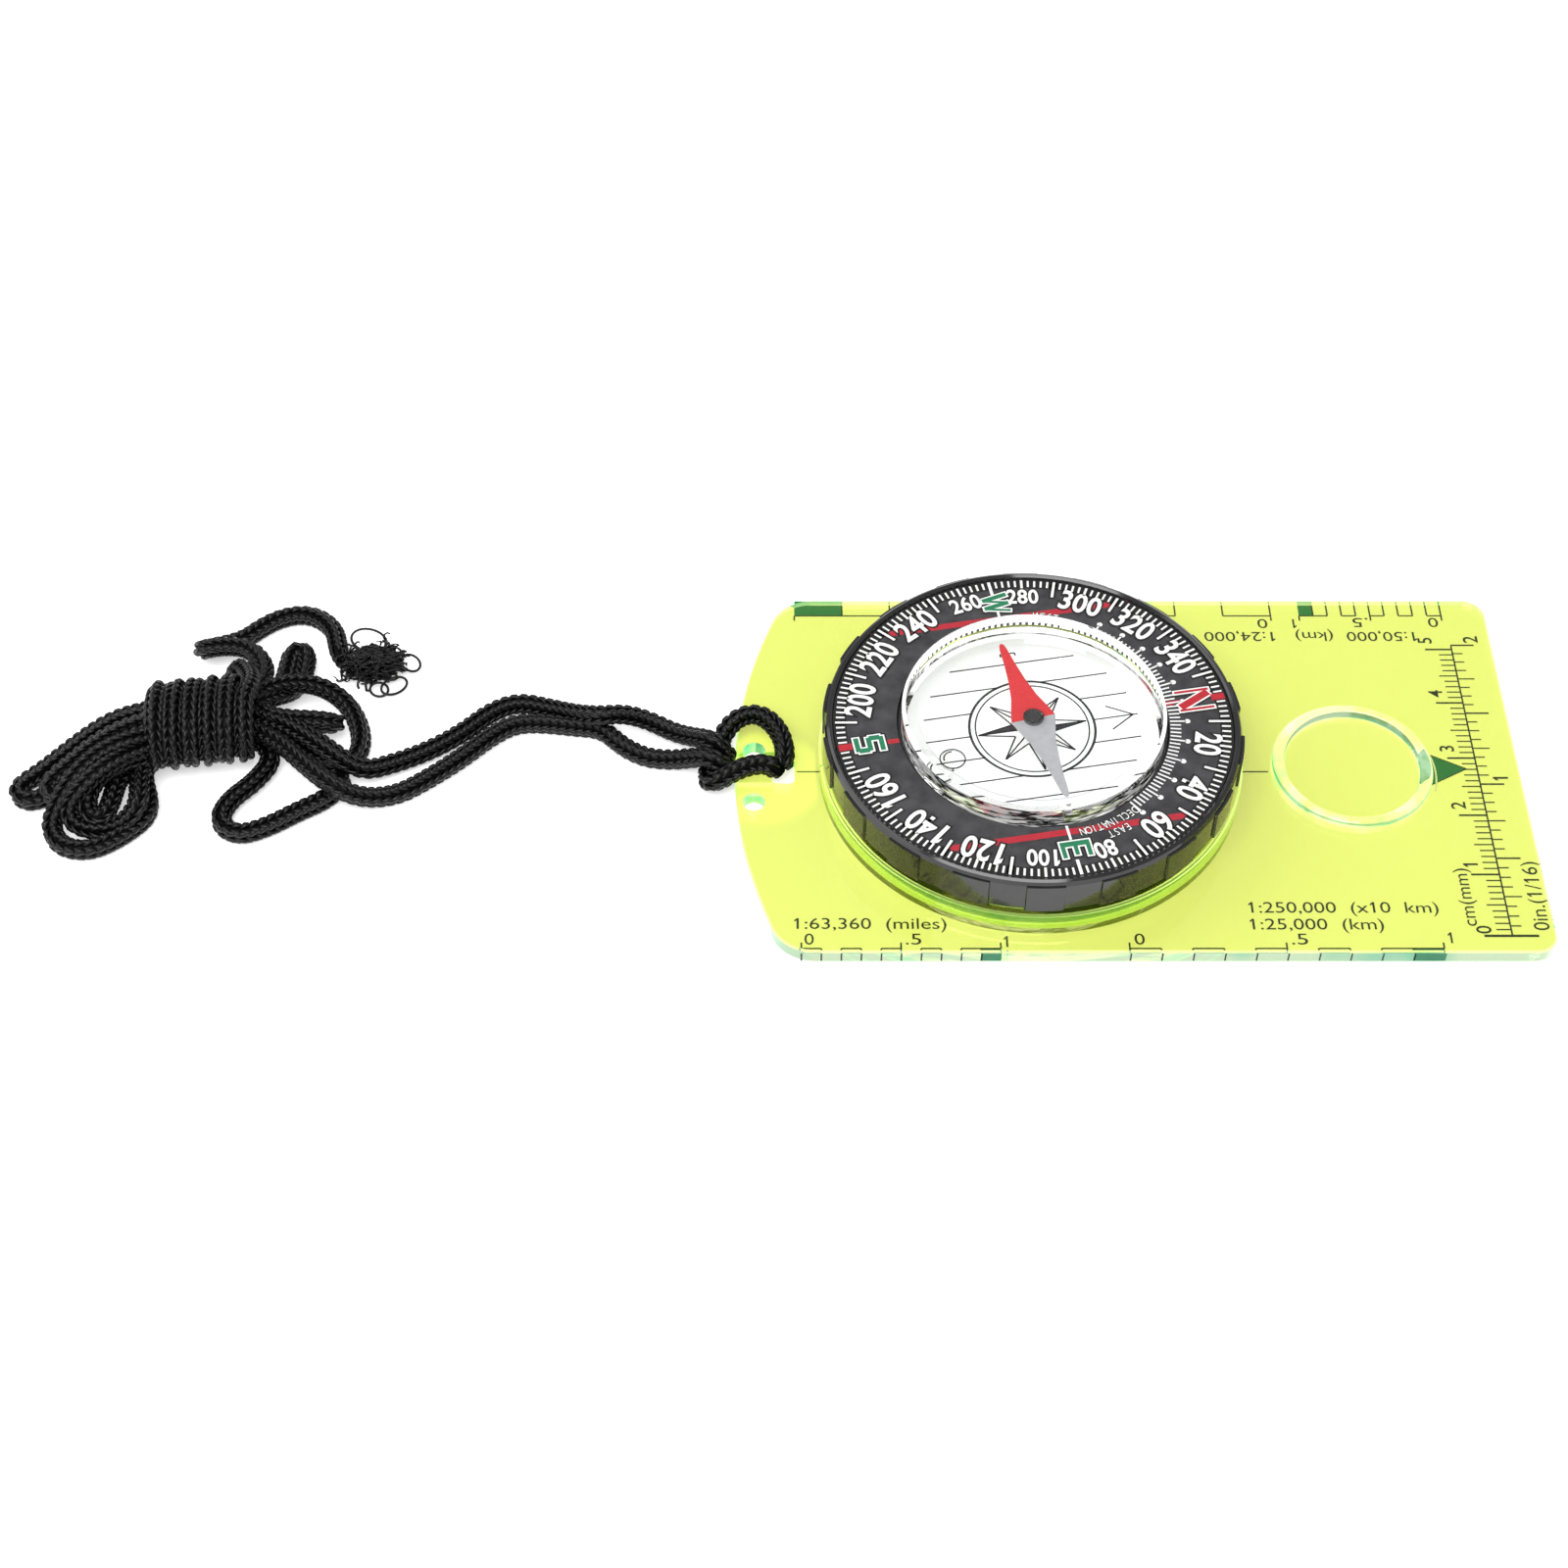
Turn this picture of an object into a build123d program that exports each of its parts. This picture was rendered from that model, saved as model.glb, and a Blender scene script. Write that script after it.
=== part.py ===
"""Baseplate compass: clear map-reading plate, rotating bezel with a liquid capsule, free needle, neck cord.

Millimetres. +X is the direction of travel, +Y is to the left of travel, +Z is up. The origin is on the
underside of the baseplate, at the middle of its length and width.
"""
from build123d import *
import math
import os

os.makedirs("parts", exist_ok=True)

# Baseplate
PLATE_LENGTH = 105.0
PLATE_WIDTH = 62.0
PLATE_THICK = 2.0
NOSE_CORNER = 3.0          # corner radius at the direction-of-travel end
TAIL_ARC = 76.0            # radius of the bowed cord end
TAIL_CORNER = 6.0
PLATE_EDGE = 0.25          # chamfer round the plate's top
STENCIL_R = 1.5            # two small marking holes beside the cord slot
STENCIL_X = -49.9
STENCIL_FAR_Y, STENCIL_NEAR_Y = 2.7, -6.2
SLOT_X, SLOT_Y = -46.0, -1.0
SLOT_LENGTH, SLOT_WIDTH = 3.0, 4.0
SLOT_CORNER = 0.6
GROOVE_DEPTH = 1.0         # relief on the underside, where the cord goes from the slot to the tail edge
GROOVE_WIDTH = 5.4
GROOVE_Y = 0.3

# Magnifying lens moulded in the plate
LENS_X = 30.1
LENS_R = 9.0
LENS_RISE = 1.1
LENS_RIM = 1.7             # width of the half-round rim
LENS_RIM_RISE = 0.8
LENS_STEP = 0.25           # how far the crown's edge lies below the rim's foot
LENS_SHOULDER = 0.1        # height at which the rim's round starts above the plate

# Turret that carries the bezel
AXIS_X = -13.2             # the bezel's and the needle's axis
TURRET_R = 28.1
TURRET_TOP = 5.6
TURRET_WALL = 1.7
WELL_R = 22.3              # sight hole below the capsule
GUIDE_WALL = 1.4
GUIDE_TOP = 5.4
SNAP_Z = 3.4               # height of the snap bead and its groove
SNAP_DEPTH = 0.5
SNAP_HALF = 0.6
RUN_GAP = 0.3              # clearance between bezel and turret
RIM_EASE = 0.3             # chamfer of the turned rims

# Glide ring in the trough between the turret wall and its guide
GLIDE_THICK = 0.5
GLIDE_PLAY = 0.1           # to the trough's walls
GLIDE_GAP = 0.2            # to the bezel's skirt above it

# Bezel
NORTH = 10.3               # angle of the N mark from +X, anticlockwise, at rest
BEZEL_R = 27.7
BEZEL_LOW = 5.9
BEZEL_TOP = 11.4
LIP_R = 26.3               # inner radius of the raised lip
LIP_ROLL = [(0, -0.8), (-0.25, -0.2), (-0.6, 0)]     # the lip's outer corner, from its outermost top point
LIP_SLOPE = [(0.4, 0), (0.1, -0.25)]                 # its inner corner, from the inner radius and top
PAD_COUNT = 18             # grip pads round the rim
PAD_RISE = 0.3
PAD_INSET_LOW, PAD_INSET_TOP = 0.2, 0.7              # pads stop short of the rim's edges
PAD_ROOT = 1.0             # how far a pad reaches into the rim
SHELF_Z = 10.5             # shelf that the printed dial lies on
WEB_THICK = 1.2
BORE_R = 17.9
SKIRT_IN = 24.2
DIAL_THICK = 0.4
DIAL_PLAY = 0.1

# Capsule
CAPSULE_R = 17.3
CAPSULE_WALL = 2.0
CAPSULE_LOW = 5.6
FLOOR_THICK = 1.0
CUP_CORNER = 0.6
BOSS_R, BOSS_RISE, BOSS_TAPER = 1.2, 0.8, 0.2        # holds the pin in the floor
CAPSULE_RIM = 12.9
WINDOW_TOP = 13.8
WINDOW_EASE = 0.5
WINDOW_SPIGOT = 0.3        # how deep the window sits in the cup
FLANGE_R = 19.2
FLANGE_THICK = 0.7
SEAL_TOP = 10.2            # top of the seal, sunk below the dial
SEAL_EASE = 0.2
PLUG_R = 1.65              # filling plug
PLUG_X, PLUG_Y = -10.7, -5.3
PLUG_RISE = 0.35
PLUG_EASE = 0.15
PIN_R = 0.45
PIN_TIP = 10.15
PIN_SEAT = 0.4             # foot of the pin above the capsule's underside
PIN_CONE = 0.9
PIN_POINT = 0.05           # radius of the blunted tip

# Needle
NEEDLE_ANGLE = 105.0       # angle of the north tip from +X
NEEDLE_HALF = 13.9
NEEDLE_WAIST = 3.0         # half the width at the hub
NEEDLE_SHOULDER = 0.6      # half the length of the widest part
NEEDLE_THICK = 0.25
NEEDLE_Z = 9.8
HUB_R = 1.35
HUB_NOTCH = 0.25           # groove that grips the blade
HUB_CAP = 0.45             # thickness over the jewel
HUB_EASE, HUB_BEVEL = 0.4, 0.5
MOUTH_DROP = 0.4           # how far the hub and jewel reach below the blade
JEWEL_R = 0.8
JEWEL_GAP = 0.04           # between the pin's tip and the jewel
JEWEL_RISE = 0.75          # top of the jewel above the pin's tip
JEWEL_SEAT = 0.2           # radius of the jewel's blunt cone
JEWEL_FLARE = 0.15         # play between the pin and the cone's mouth

# Neck cord
CORD_R = 1.2
FLAT_THICK = 0.9           # thickness of the cord where it is squashed under the plate
FLAT_LOW = 0.05            # its underside above the table
FLAT_PLAY = 0.2            # to each side of its groove
SLOT_PLAY = 0.15           # to each side of the slot


def on_axis(radius, angle):
    """A point at a radius and angle about the bezel's axis."""
    turn = math.radians(angle)
    return (AXIS_X + radius * math.cos(turn), radius * math.sin(turn))


def ring_profile(points):
    """A turned solid about the bezel's axis, from (radius, height) points."""
    with BuildPart() as turned:
        with BuildSketch(Plane(origin=(AXIS_X, 0, 0), x_dir=(1, 0, 0), z_dir=(0, -1, 0))):
            with BuildLine():
                Polyline(*points, close=True)
            make_face()
        revolve(axis=Axis((AXIS_X, 0, 0), (0, 0, 1)))
    return turned.part


def finish(solid, label):
    """Name a piece and write it."""
    solid.label = label
    export_step(solid, f"parts/{label}.step")


def plate_blank():
    """The plate's outline, bowed at the cord end, with its top edges softened."""
    half_l, half_w = PLATE_LENGTH / 2, PLATE_WIDTH / 2
    tail_in = TAIL_ARC - math.sqrt(TAIL_ARC**2 - half_w**2)
    with BuildPart() as blank:
        with BuildSketch() as outline:
            with BuildLine():
                tail = ThreePointArc((-half_l + tail_in, half_w), (-half_l, 0), (-half_l + tail_in, -half_w))
                Polyline(tail @ 1, (half_l, -half_w), (half_l, half_w), tail @ 0)
            make_face()
            corners = outline.vertices().group_by(Axis.X)
            fillet(corners[-1], NOSE_CORNER)
            fillet(outline.vertices().filter_by(lambda v: v.X < -half_l + 2 * tail_in), TAIL_CORNER)
        extrude(amount=PLATE_THICK)
        chamfer(blank.edges().group_by(Axis.Z)[-1], PLATE_EDGE)
    return blank.part


def turret_wall():
    """The wall that the bezel snaps into, with its groove inside."""
    inner, groove = TURRET_R - TURRET_WALL, TURRET_R - TURRET_WALL + SNAP_DEPTH + RUN_GAP
    low, high = SNAP_Z - SNAP_HALF - RUN_GAP, SNAP_Z + SNAP_HALF + RUN_GAP
    return ring_profile([
        (inner, PLATE_THICK / 2), (TURRET_R, PLATE_THICK / 2), (TURRET_R, TURRET_TOP - RIM_EASE),
        (TURRET_R - RIM_EASE, TURRET_TOP), (inner, TURRET_TOP), (inner, high), (groove, high),
        (groove, low), (inner, low),
    ])


def turret_guide():
    """The inner wall, round the sight hole."""
    outer, foot = WELL_R + GUIDE_WALL, PLATE_THICK / 2
    return ring_profile([(WELL_R, foot), (outer, foot), (outer, GUIDE_TOP), (WELL_R, GUIDE_TOP)])


def lens():
    """The magnifier's crown and the half-round rim about it."""
    crown_high = LENS_RISE + LENS_STEP
    crown_r = (LENS_R**2 + crown_high**2) / (2 * crown_high)
    low, top = PLATE_THICK / 2, PLATE_THICK + LENS_RISE
    slant = math.asin(LENS_R / crown_r) / 2
    middle = (crown_r * math.sin(slant), top - crown_r * (1 - math.cos(slant)))
    rim_out, shoulder = LENS_R + LENS_RIM, PLATE_THICK + LENS_SHOULDER
    summit = (LENS_R + LENS_RIM / 2, PLATE_THICK + LENS_RIM_RISE)
    with BuildPart() as turned:
        with BuildSketch(Plane(origin=(LENS_X, 0, 0), x_dir=(1, 0, 0), z_dir=(0, -1, 0))):
            with BuildLine():
                crown = ThreePointArc((0, top), middle, (LENS_R, PLATE_THICK - LENS_STEP))
                Polyline(crown @ 1, (LENS_R, low), (0, low), crown @ 0)
            make_face()
            with BuildLine():
                rim = ThreePointArc((LENS_R, shoulder), summit, (rim_out, shoulder))
                Polyline(rim @ 1, (rim_out, low), (LENS_R, low), rim @ 0)
            make_face()
        revolve(axis=Axis((LENS_X, 0, 0), (0, 0, 1)))
    return turned.part


def make_baseplate():
    groove_start, groove_end = -PLATE_LENGTH / 2 - 1, SLOT_X + SLOT_LENGTH / 2
    with BuildPart() as plate:
        add(plate_blank())
        add(turret_wall())
        add(turret_guide())
        with BuildSketch():
            with Locations((AXIS_X, 0)):
                Circle(WELL_R)
        extrude(amount=PLATE_THICK, mode=Mode.SUBTRACT)
        with BuildSketch(Plane.XY.offset(PLATE_THICK - LENS_STEP)):
            with Locations((LENS_X, 0)):
                Circle(LENS_R)
        extrude(amount=LENS_STEP, mode=Mode.SUBTRACT)
        add(lens())
        # Marking holes, cord slot and the relief below it
        with BuildSketch():
            with Locations((STENCIL_X, STENCIL_FAR_Y), (STENCIL_X, STENCIL_NEAR_Y)):
                Circle(STENCIL_R)
            with Locations((SLOT_X, SLOT_Y)):
                RectangleRounded(SLOT_LENGTH, SLOT_WIDTH, SLOT_CORNER)
        extrude(amount=PLATE_THICK, mode=Mode.SUBTRACT)
        with BuildSketch():
            with Locations(((groove_start + groove_end) / 2, GROOVE_Y)):
                Rectangle(groove_end - groove_start, GROOVE_WIDTH)
        extrude(amount=GROOVE_DEPTH, mode=Mode.SUBTRACT)
    finish(plate.part, "baseplate")


def make_bezel():
    web_low = SHELF_Z - WEB_THICK
    skirt_out = TURRET_R - TURRET_WALL - RUN_GAP
    skirt_low = PLATE_THICK + GLIDE_THICK + GLIDE_GAP
    root = BEZEL_R - PAD_RISE
    profile = [
        (BORE_R, web_low), (SKIRT_IN, web_low), (SKIRT_IN, skirt_low), (skirt_out, skirt_low),
        (skirt_out, SNAP_Z - SNAP_HALF), (skirt_out + SNAP_DEPTH, SNAP_Z - SNAP_HALF / 3),
        (skirt_out + SNAP_DEPTH, SNAP_Z + SNAP_HALF / 3), (skirt_out, SNAP_Z + SNAP_HALF),
        (skirt_out, BEZEL_LOW), (root - RIM_EASE, BEZEL_LOW), (root, BEZEL_LOW + RIM_EASE),
        *((root + out, BEZEL_TOP + up) for out, up in LIP_ROLL),
        *((LIP_R + out, BEZEL_TOP + up) for out, up in LIP_SLOPE),
        (LIP_R, SHELF_Z + DIAL_THICK), (LIP_R, SHELF_Z), (BORE_R, SHELF_Z),
    ]
    body = ring_profile(profile)
    pad_half = 360 / PAD_COUNT / 4
    pad_low, pad_high = BEZEL_LOW + PAD_INSET_LOW, BEZEL_TOP - PAD_INSET_TOP
    with BuildPart() as bezel:
        add(body)
        with BuildSketch(Plane.XY.offset(pad_low)):
            for index in range(PAD_COUNT):
                middle = NORTH + index * 360 / PAD_COUNT
                start, end = on_axis(BEZEL_R, middle - pad_half), on_axis(BEZEL_R, middle + pad_half)
                with BuildLine():
                    rim = ThreePointArc(start, on_axis(BEZEL_R, middle), end)
                    Polyline(
                        rim @ 1, on_axis(root - PAD_ROOT, middle + pad_half + 1),
                        on_axis(root - PAD_ROOT, middle - pad_half - 1), rim @ 0,
                    )
                make_face()
        extrude(amount=pad_high - pad_low)
    finish(bezel.part, "bezel_ring")


def make_dial():
    inner, outer = BORE_R, LIP_R - DIAL_PLAY
    finish(
        ring_profile([
            (inner, SHELF_Z), (outer, SHELF_Z), (outer, SHELF_Z + DIAL_THICK), (inner, SHELF_Z + DIAL_THICK),
        ]),
        "dial_ring",
    )


def make_glide_ring():
    low, high = PLATE_THICK, PLATE_THICK + GLIDE_THICK
    inner, outer = SKIRT_IN + GLIDE_PLAY, TURRET_R - TURRET_WALL - GLIDE_PLAY
    finish(ring_profile([(inner, low), (outer, low), (outer, high), (inner, high)]), "bezel_glide_ring")


def make_capsule():
    inner = CAPSULE_R - CAPSULE_WALL
    floor_top = CAPSULE_LOW + FLOOR_THICK
    flange_top = SHELF_Z - WEB_THICK
    cup = ring_profile([
        (0, CAPSULE_LOW), (CAPSULE_R - CUP_CORNER, CAPSULE_LOW), (CAPSULE_R, CAPSULE_LOW + CUP_CORNER),
        (CAPSULE_R, flange_top - FLANGE_THICK), (FLANGE_R, flange_top - FLANGE_THICK), (FLANGE_R, flange_top),
        (CAPSULE_R, flange_top), (CAPSULE_R, CAPSULE_RIM), (inner, CAPSULE_RIM), (inner, floor_top),
        (BOSS_R, floor_top), (BOSS_R - BOSS_TAPER, floor_top + BOSS_RISE), (0, floor_top + BOSS_RISE),
    ])
    with BuildPart() as body:
        add(cup)
        with BuildSketch(Plane.XY.offset(CAPSULE_LOW + PIN_SEAT)):
            with Locations((AXIS_X, 0)):
                Circle(PIN_R)
        extrude(amount=FLOOR_THICK + BOSS_RISE, mode=Mode.SUBTRACT)
        with BuildSketch(Plane.XY.offset(CAPSULE_LOW)):
            with Locations((AXIS_X + PLUG_X, PLUG_Y)):
                Circle(PLUG_R)
        extrude(amount=FLOOR_THICK, mode=Mode.SUBTRACT)
    finish(body.part, "capsule_body")
    finish(
        ring_profile([
            (0, CAPSULE_RIM - WINDOW_SPIGOT), (inner, CAPSULE_RIM - WINDOW_SPIGOT), (inner, CAPSULE_RIM),
            (CAPSULE_R, CAPSULE_RIM), (CAPSULE_R, WINDOW_TOP - WINDOW_EASE),
            (CAPSULE_R - WINDOW_EASE, WINDOW_TOP), (0, WINDOW_TOP),
        ]),
        "capsule_window",
    )
    finish(
        ring_profile([
            (CAPSULE_R, flange_top), (BORE_R, flange_top), (BORE_R, SEAL_TOP - SEAL_EASE),
            (BORE_R - SEAL_EASE, SEAL_TOP), (CAPSULE_R, SEAL_TOP),
        ]),
        "capsule_seal_ring",
    )
    with BuildPart() as plug:
        with BuildSketch(Plane.XY.offset(CAPSULE_LOW)):
            with Locations((AXIS_X + PLUG_X, PLUG_Y)):
                Circle(PLUG_R)
        extrude(amount=FLOOR_THICK + PLUG_RISE)
        chamfer(plug.edges().group_by(Axis.Z)[-1], PLUG_EASE)
    finish(plug.part, "fill_plug")


def make_pivot():
    low = CAPSULE_LOW + PIN_SEAT
    finish(
        ring_profile([
            (0, low), (PIN_R, low), (PIN_R, PIN_TIP - PIN_CONE), (PIN_POINT, PIN_TIP), (0, PIN_TIP),
        ]),
        "pivot_pin",
    )


def make_needle():
    """The jewel, whose blunt cone rides on the pin's tip with a running gap, the hub and the blade."""
    seat, jewel_top = PIN_TIP + JEWEL_GAP, PIN_TIP + JEWEL_RISE
    mouth, blade_top, notch = NEEDLE_Z - MOUTH_DROP, NEEDLE_Z + NEEDLE_THICK, HUB_R - HUB_NOTCH
    finish(
        ring_profile([
            (0, seat), (JEWEL_SEAT, seat), (PIN_R + JEWEL_FLARE, mouth), (JEWEL_R, mouth),
            (JEWEL_R, jewel_top), (0, jewel_top),
        ]),
        "jewel_bearing",
    )
    hub_top = jewel_top + HUB_CAP
    finish(
        ring_profile([
            (JEWEL_R, mouth), (HUB_R, mouth), (HUB_R, NEEDLE_Z), (notch, NEEDLE_Z), (notch, blade_top),
            (HUB_R, blade_top), (HUB_R, hub_top - HUB_BEVEL), (HUB_R - HUB_EASE, hub_top), (0, hub_top),
            (0, jewel_top), (JEWEL_R, jewel_top),
        ]),
        "needle_hub",
    )
    with BuildPart() as blade:
        with BuildSketch(Plane(origin=(AXIS_X, 0, NEEDLE_Z), x_dir=on_axis_direction(NEEDLE_ANGLE))):
            with BuildLine():
                Polyline(
                    (NEEDLE_HALF, 0), (NEEDLE_SHOULDER, NEEDLE_WAIST), (-NEEDLE_SHOULDER, NEEDLE_WAIST),
                    (-NEEDLE_HALF, 0), (-NEEDLE_SHOULDER, -NEEDLE_WAIST), (NEEDLE_SHOULDER, -NEEDLE_WAIST),
                    close=True,
                )
            make_face()
            Circle(notch, mode=Mode.SUBTRACT)
        extrude(amount=NEEDLE_THICK)
    finish(blade.part, "needle_blade")


def on_axis_direction(angle):
    """A unit vector in the plate's plane."""
    return (math.cos(math.radians(angle)), math.sin(math.radians(angle)), 0)


# The cord's route, chosen by hand: it rests on the table at 1.3 and crosses itself at about 3.8.
HITCH = [
    (-46.2, -0.6, 2.4), (-45.6, 0.6, 3.3), (-46.0, 3.9, 3.4), (-47.8, 7.0, 3.5), (-50.2, 8.2, 3.5),
    (-52.8, 7.0, 3.3), (-54.6, 4.6, 1.8), (-55.6, 1.2, 1.3), (-56.4, -1.9, 1.4), (-55.0, -3.3, 2.4),
    (-52.2, -2.0, 3.6), (-49.4, -0.9, 3.6), (-47.4, -1.2, 3.5), (-46.4, -1.7, 2.4),
]
LEG_A = [
    (-53.2, 1.6, 1.3), (-54.0, 2.0, 3.0), (-55.9, 3.0, 4.1), (-58.2, 4.8, 2.4), (-60.9, 6.6, 1.3),
    (-64.3, 8.5, 1.6), (-67.6, 8.3, 3.2), (-70.8, 7.4, 3.8), (-74.0, 9.0, 2.3), (-77.6, 10.9, 1.3),
    (-82.2, 12.2, 1.3), (-86.0, 10.3, 1.3), (-89.4, 6.6, 1.3), (-93.6, 3.4, 1.3), (-98.4, 1.0, 1.3),
    (-102.4, -1.0, 2.0), (-106.2, 0.9, 3.8), (-110.2, 3.9, 4.3), (-114.2, 6.2, 4.6), (-119.0, 7.2, 4.8),
]
LEG_B = [
    (-53.2, -1.0, 1.3), (-54.0, -0.8, 3.0), (-56.0, -0.1, 4.1), (-58.4, 1.1, 2.4), (-61.2, 1.7, 1.3),
    (-64.6, 2.1, 1.3), (-67.9, 4.2, 1.3), (-70.6, 7.3, 1.3), (-74.4, 7.7, 1.3), (-78.4, 8.3, 1.3),
    (-82.2, 8.3, 1.3), (-85.4, 6.1, 1.3), (-89.0, 2.2, 1.3), (-93.2, -1.5, 1.3), (-97.4, -4.6, 1.3),
    (-102.2, -5.6, 2.0), (-106.4, -4.4, 3.9), (-110.0, -1.0, 4.1), (-113.4, 2.6, 4.2), (-118.0, 4.8, 4.6),
]
BIG_LOOP = [
    (-118.5, 9.6, 5.2), (-114.2, 13.0, 4.2), (-109.4, 14.2, 2.8), (-105.4, 11.8, 1.6), (-103.2, 7.2, 1.3),
    (-103.0, 2.8, 1.3), (-105.2, 0.4, 1.3), (-108.8, 1.8, 1.4), (-112.6, 4.6, 1.9), (-117.0, 6.4, 2.6),
]
SMALL_LOOP = [
    (-117.6, 9.6, 3.2), (-113.6, 10.0, 2.2), (-109.6, 10.4, 1.3), (-106.4, 9.6, 1.3), (-106.0, 6.8, 1.3),
    (-108.8, 5.2, 1.3), (-112.8, 6.8, 2.0), (-117.0, 8.4, 3.4),
]
LOW_LOOP = [
    (-117.0, 5.2, 2.4), (-114.4, 1.8, 1.4), (-116.4, -2.2, 1.3), (-119.6, -5.6, 1.3), (-120.6, -9.2, 1.3),
    (-117.6, -11.4, 1.3), (-113.8, -9.8, 1.3), (-110.2, -7.2, 1.3), (-106.8, -5.2, 1.3), (-104.6, -2.4, 1.3),
]
HIGH_LOOP = [
    (-111.0, 13.0, 1.3), (-108.6, 17.4, 1.3), (-107.9, 22.6, 1.3), (-109.8, 27.0, 1.3), (-113.6, 29.1, 1.3),
    (-117.6, 28.3, 1.3), (-121.2, 26.2, 1.3), (-125.2, 25.2, 1.4), (-127.8, 23.6, 2.2), (-127.0, 21.2, 3.2),
    (-123.4, 21.4, 3.6), (-120.0, 20.6, 3.5), (-117.6, 16.4, 3.6), (-118.4, 11.2, 4.4),
]


def bend_radii(points):
    """The largest arc at each corner: 0.45 of the shorter run, divided by the tangent of half the turn."""
    corners = [Vector(*point) for point in points]
    radii = []
    for before, corner, after in zip(corners, corners[1:], corners[2:]):
        run_in, run_out = corner - before, after - corner
        half_turn = math.radians(run_in.get_angle(run_out)) / 2
        radii.append(0.45 * min(run_in.length, run_out.length) / math.tan(half_turn))
    return radii


def make_cord(label, points):
    radii = bend_radii(points)
    with BuildPart() as cord:
        with BuildLine() as path:
            FilletPolyline(*points, radius=radii)
        with BuildSketch(Plane(origin=path.line @ 0, z_dir=path.line % 0)):
            Circle(CORD_R)
        sweep()
    length = path.wire().length
    straight = math.pi * CORD_R**2 * length
    print(f"{label}: length {length:.1f}, volume ratio {cord.part.volume / straight:.3f}")
    print("  arc radii", " ".join(f"{radius:.1f}" for radius in radii))
    finish(cord.part, label)


# The hank: a neck bound by the wrapping turns, and the folded cord spread beyond it.
WRAP_X, WRAP_Y, WRAP_Z = -124.3, 5.2, 5.15
WRAP_TURN = 8.0            # angle of the hank from the row's X axis
WRAP_LENGTH = 13.6
WRAP_HALF_W, WRAP_HALF_H = 6.6, 5.1
WRAP_TUBE = 2.3
WRAP_EASE = 0.8
CORE_OUT_LEFT, CORE_OUT_RIGHT = 2.0, 1.5      # how far the bound cord shows beyond the wrapping
LOBE_LOW, LOBE_CORNER = 0.1, 1.5
LOBE_HEIGHT = 5.6
LOBE_OUTLINE = [
    (-126.0, 8.6), (-133.0, 9.2), (-141.0, 5.4), (-147.6, 1.0), (-149.8, -3.6), (-147.4, -7.4),
    (-144.6, -9.6), (-143.0, -13.4), (-137.6, -15.4), (-131.6, -13.8), (-128.2, -9.0), (-129.0, -3.0),
    (-126.0, 1.8),
]


def wrap_plane(along):
    """The hank's cross-section plane, at a distance along its length from the middle of the wrapping."""
    forward = on_axis_direction(WRAP_TURN)
    origin = (WRAP_X + along * forward[0], WRAP_Y + along * forward[1], WRAP_Z)
    return Plane(origin=origin, x_dir=(-forward[1], forward[0], 0), z_dir=forward)


def make_hank():
    inner_w, inner_h = WRAP_HALF_W - WRAP_TUBE, WRAP_HALF_H - WRAP_TUBE
    with BuildPart() as wrap:
        with BuildSketch(wrap_plane(-WRAP_LENGTH / 2)):
            Ellipse(WRAP_HALF_W, WRAP_HALF_H)
            Ellipse(inner_w, inner_h, mode=Mode.SUBTRACT)
        extrude(amount=WRAP_LENGTH)
        rims = wrap.edges().filter_by(GeomType.ELLIPSE).sort_by(lambda edge: edge.length)[-2:]
        chamfer(rims, WRAP_EASE)
    finish(wrap.part, "lanyard_wrap")
    with BuildPart() as hank:
        with BuildSketch(wrap_plane(-WRAP_LENGTH / 2 - CORE_OUT_LEFT)):
            Ellipse(inner_w, inner_h)
        extrude(amount=CORE_OUT_LEFT + WRAP_LENGTH + CORE_OUT_RIGHT)
        with BuildSketch(Plane.XY.offset(LOBE_LOW)) as spread:
            with BuildLine():
                Polyline(*LOBE_OUTLINE, close=True)
            make_face()
            fillet(spread.vertices(), LOBE_CORNER)
        extrude(amount=LOBE_HEIGHT)
        add(wrap.part, mode=Mode.SUBTRACT)
    finish(hank.part, "lanyard_hank")


def make_bight():
    """The cord squashed flat below the plate and filling the slot."""
    start, end = -PLATE_LENGTH / 2 - 0.1, SLOT_X + SLOT_LENGTH / 2 - SLOT_PLAY
    with BuildPart() as bight:
        with BuildSketch(Plane.XY.offset(FLAT_LOW)):
            with Locations(((start + end) / 2, GROOVE_Y)):
                Rectangle(end - start, GROOVE_WIDTH - 2 * FLAT_PLAY)
        extrude(amount=FLAT_THICK)
        with BuildSketch(Plane.XY.offset(FLAT_LOW)):
            with Locations((SLOT_X, SLOT_Y)):
                RectangleRounded(SLOT_LENGTH - 2 * SLOT_PLAY, SLOT_WIDTH - 2 * SLOT_PLAY, SLOT_CORNER - 0.1)
        extrude(amount=PLATE_THICK - 0.3)
    finish(bight.part, "lanyard_bight")


# Sections of the frayed end: place, half width and half height
TASSEL = [(-109.0, 17.6, 1.5, 1.4), (-104.5, 18.6, 2.4, 1.7), (-98.2, 17.4, 3.6, 1.2)]
TASSEL_Z = 1.9


def make_tassel():
    """The frayed ends: a flattened fan, from its root to its tips."""
    with BuildPart() as tassel:
        for x, y, half_w, half_h in TASSEL:
            with BuildSketch(Plane(origin=(x, y, TASSEL_Z), x_dir=(0, 1, 0), z_dir=(1, 0, 0))):
                Ellipse(half_w, half_h)
        loft()
    finish(tassel.part, "lanyard_tassel")


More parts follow.
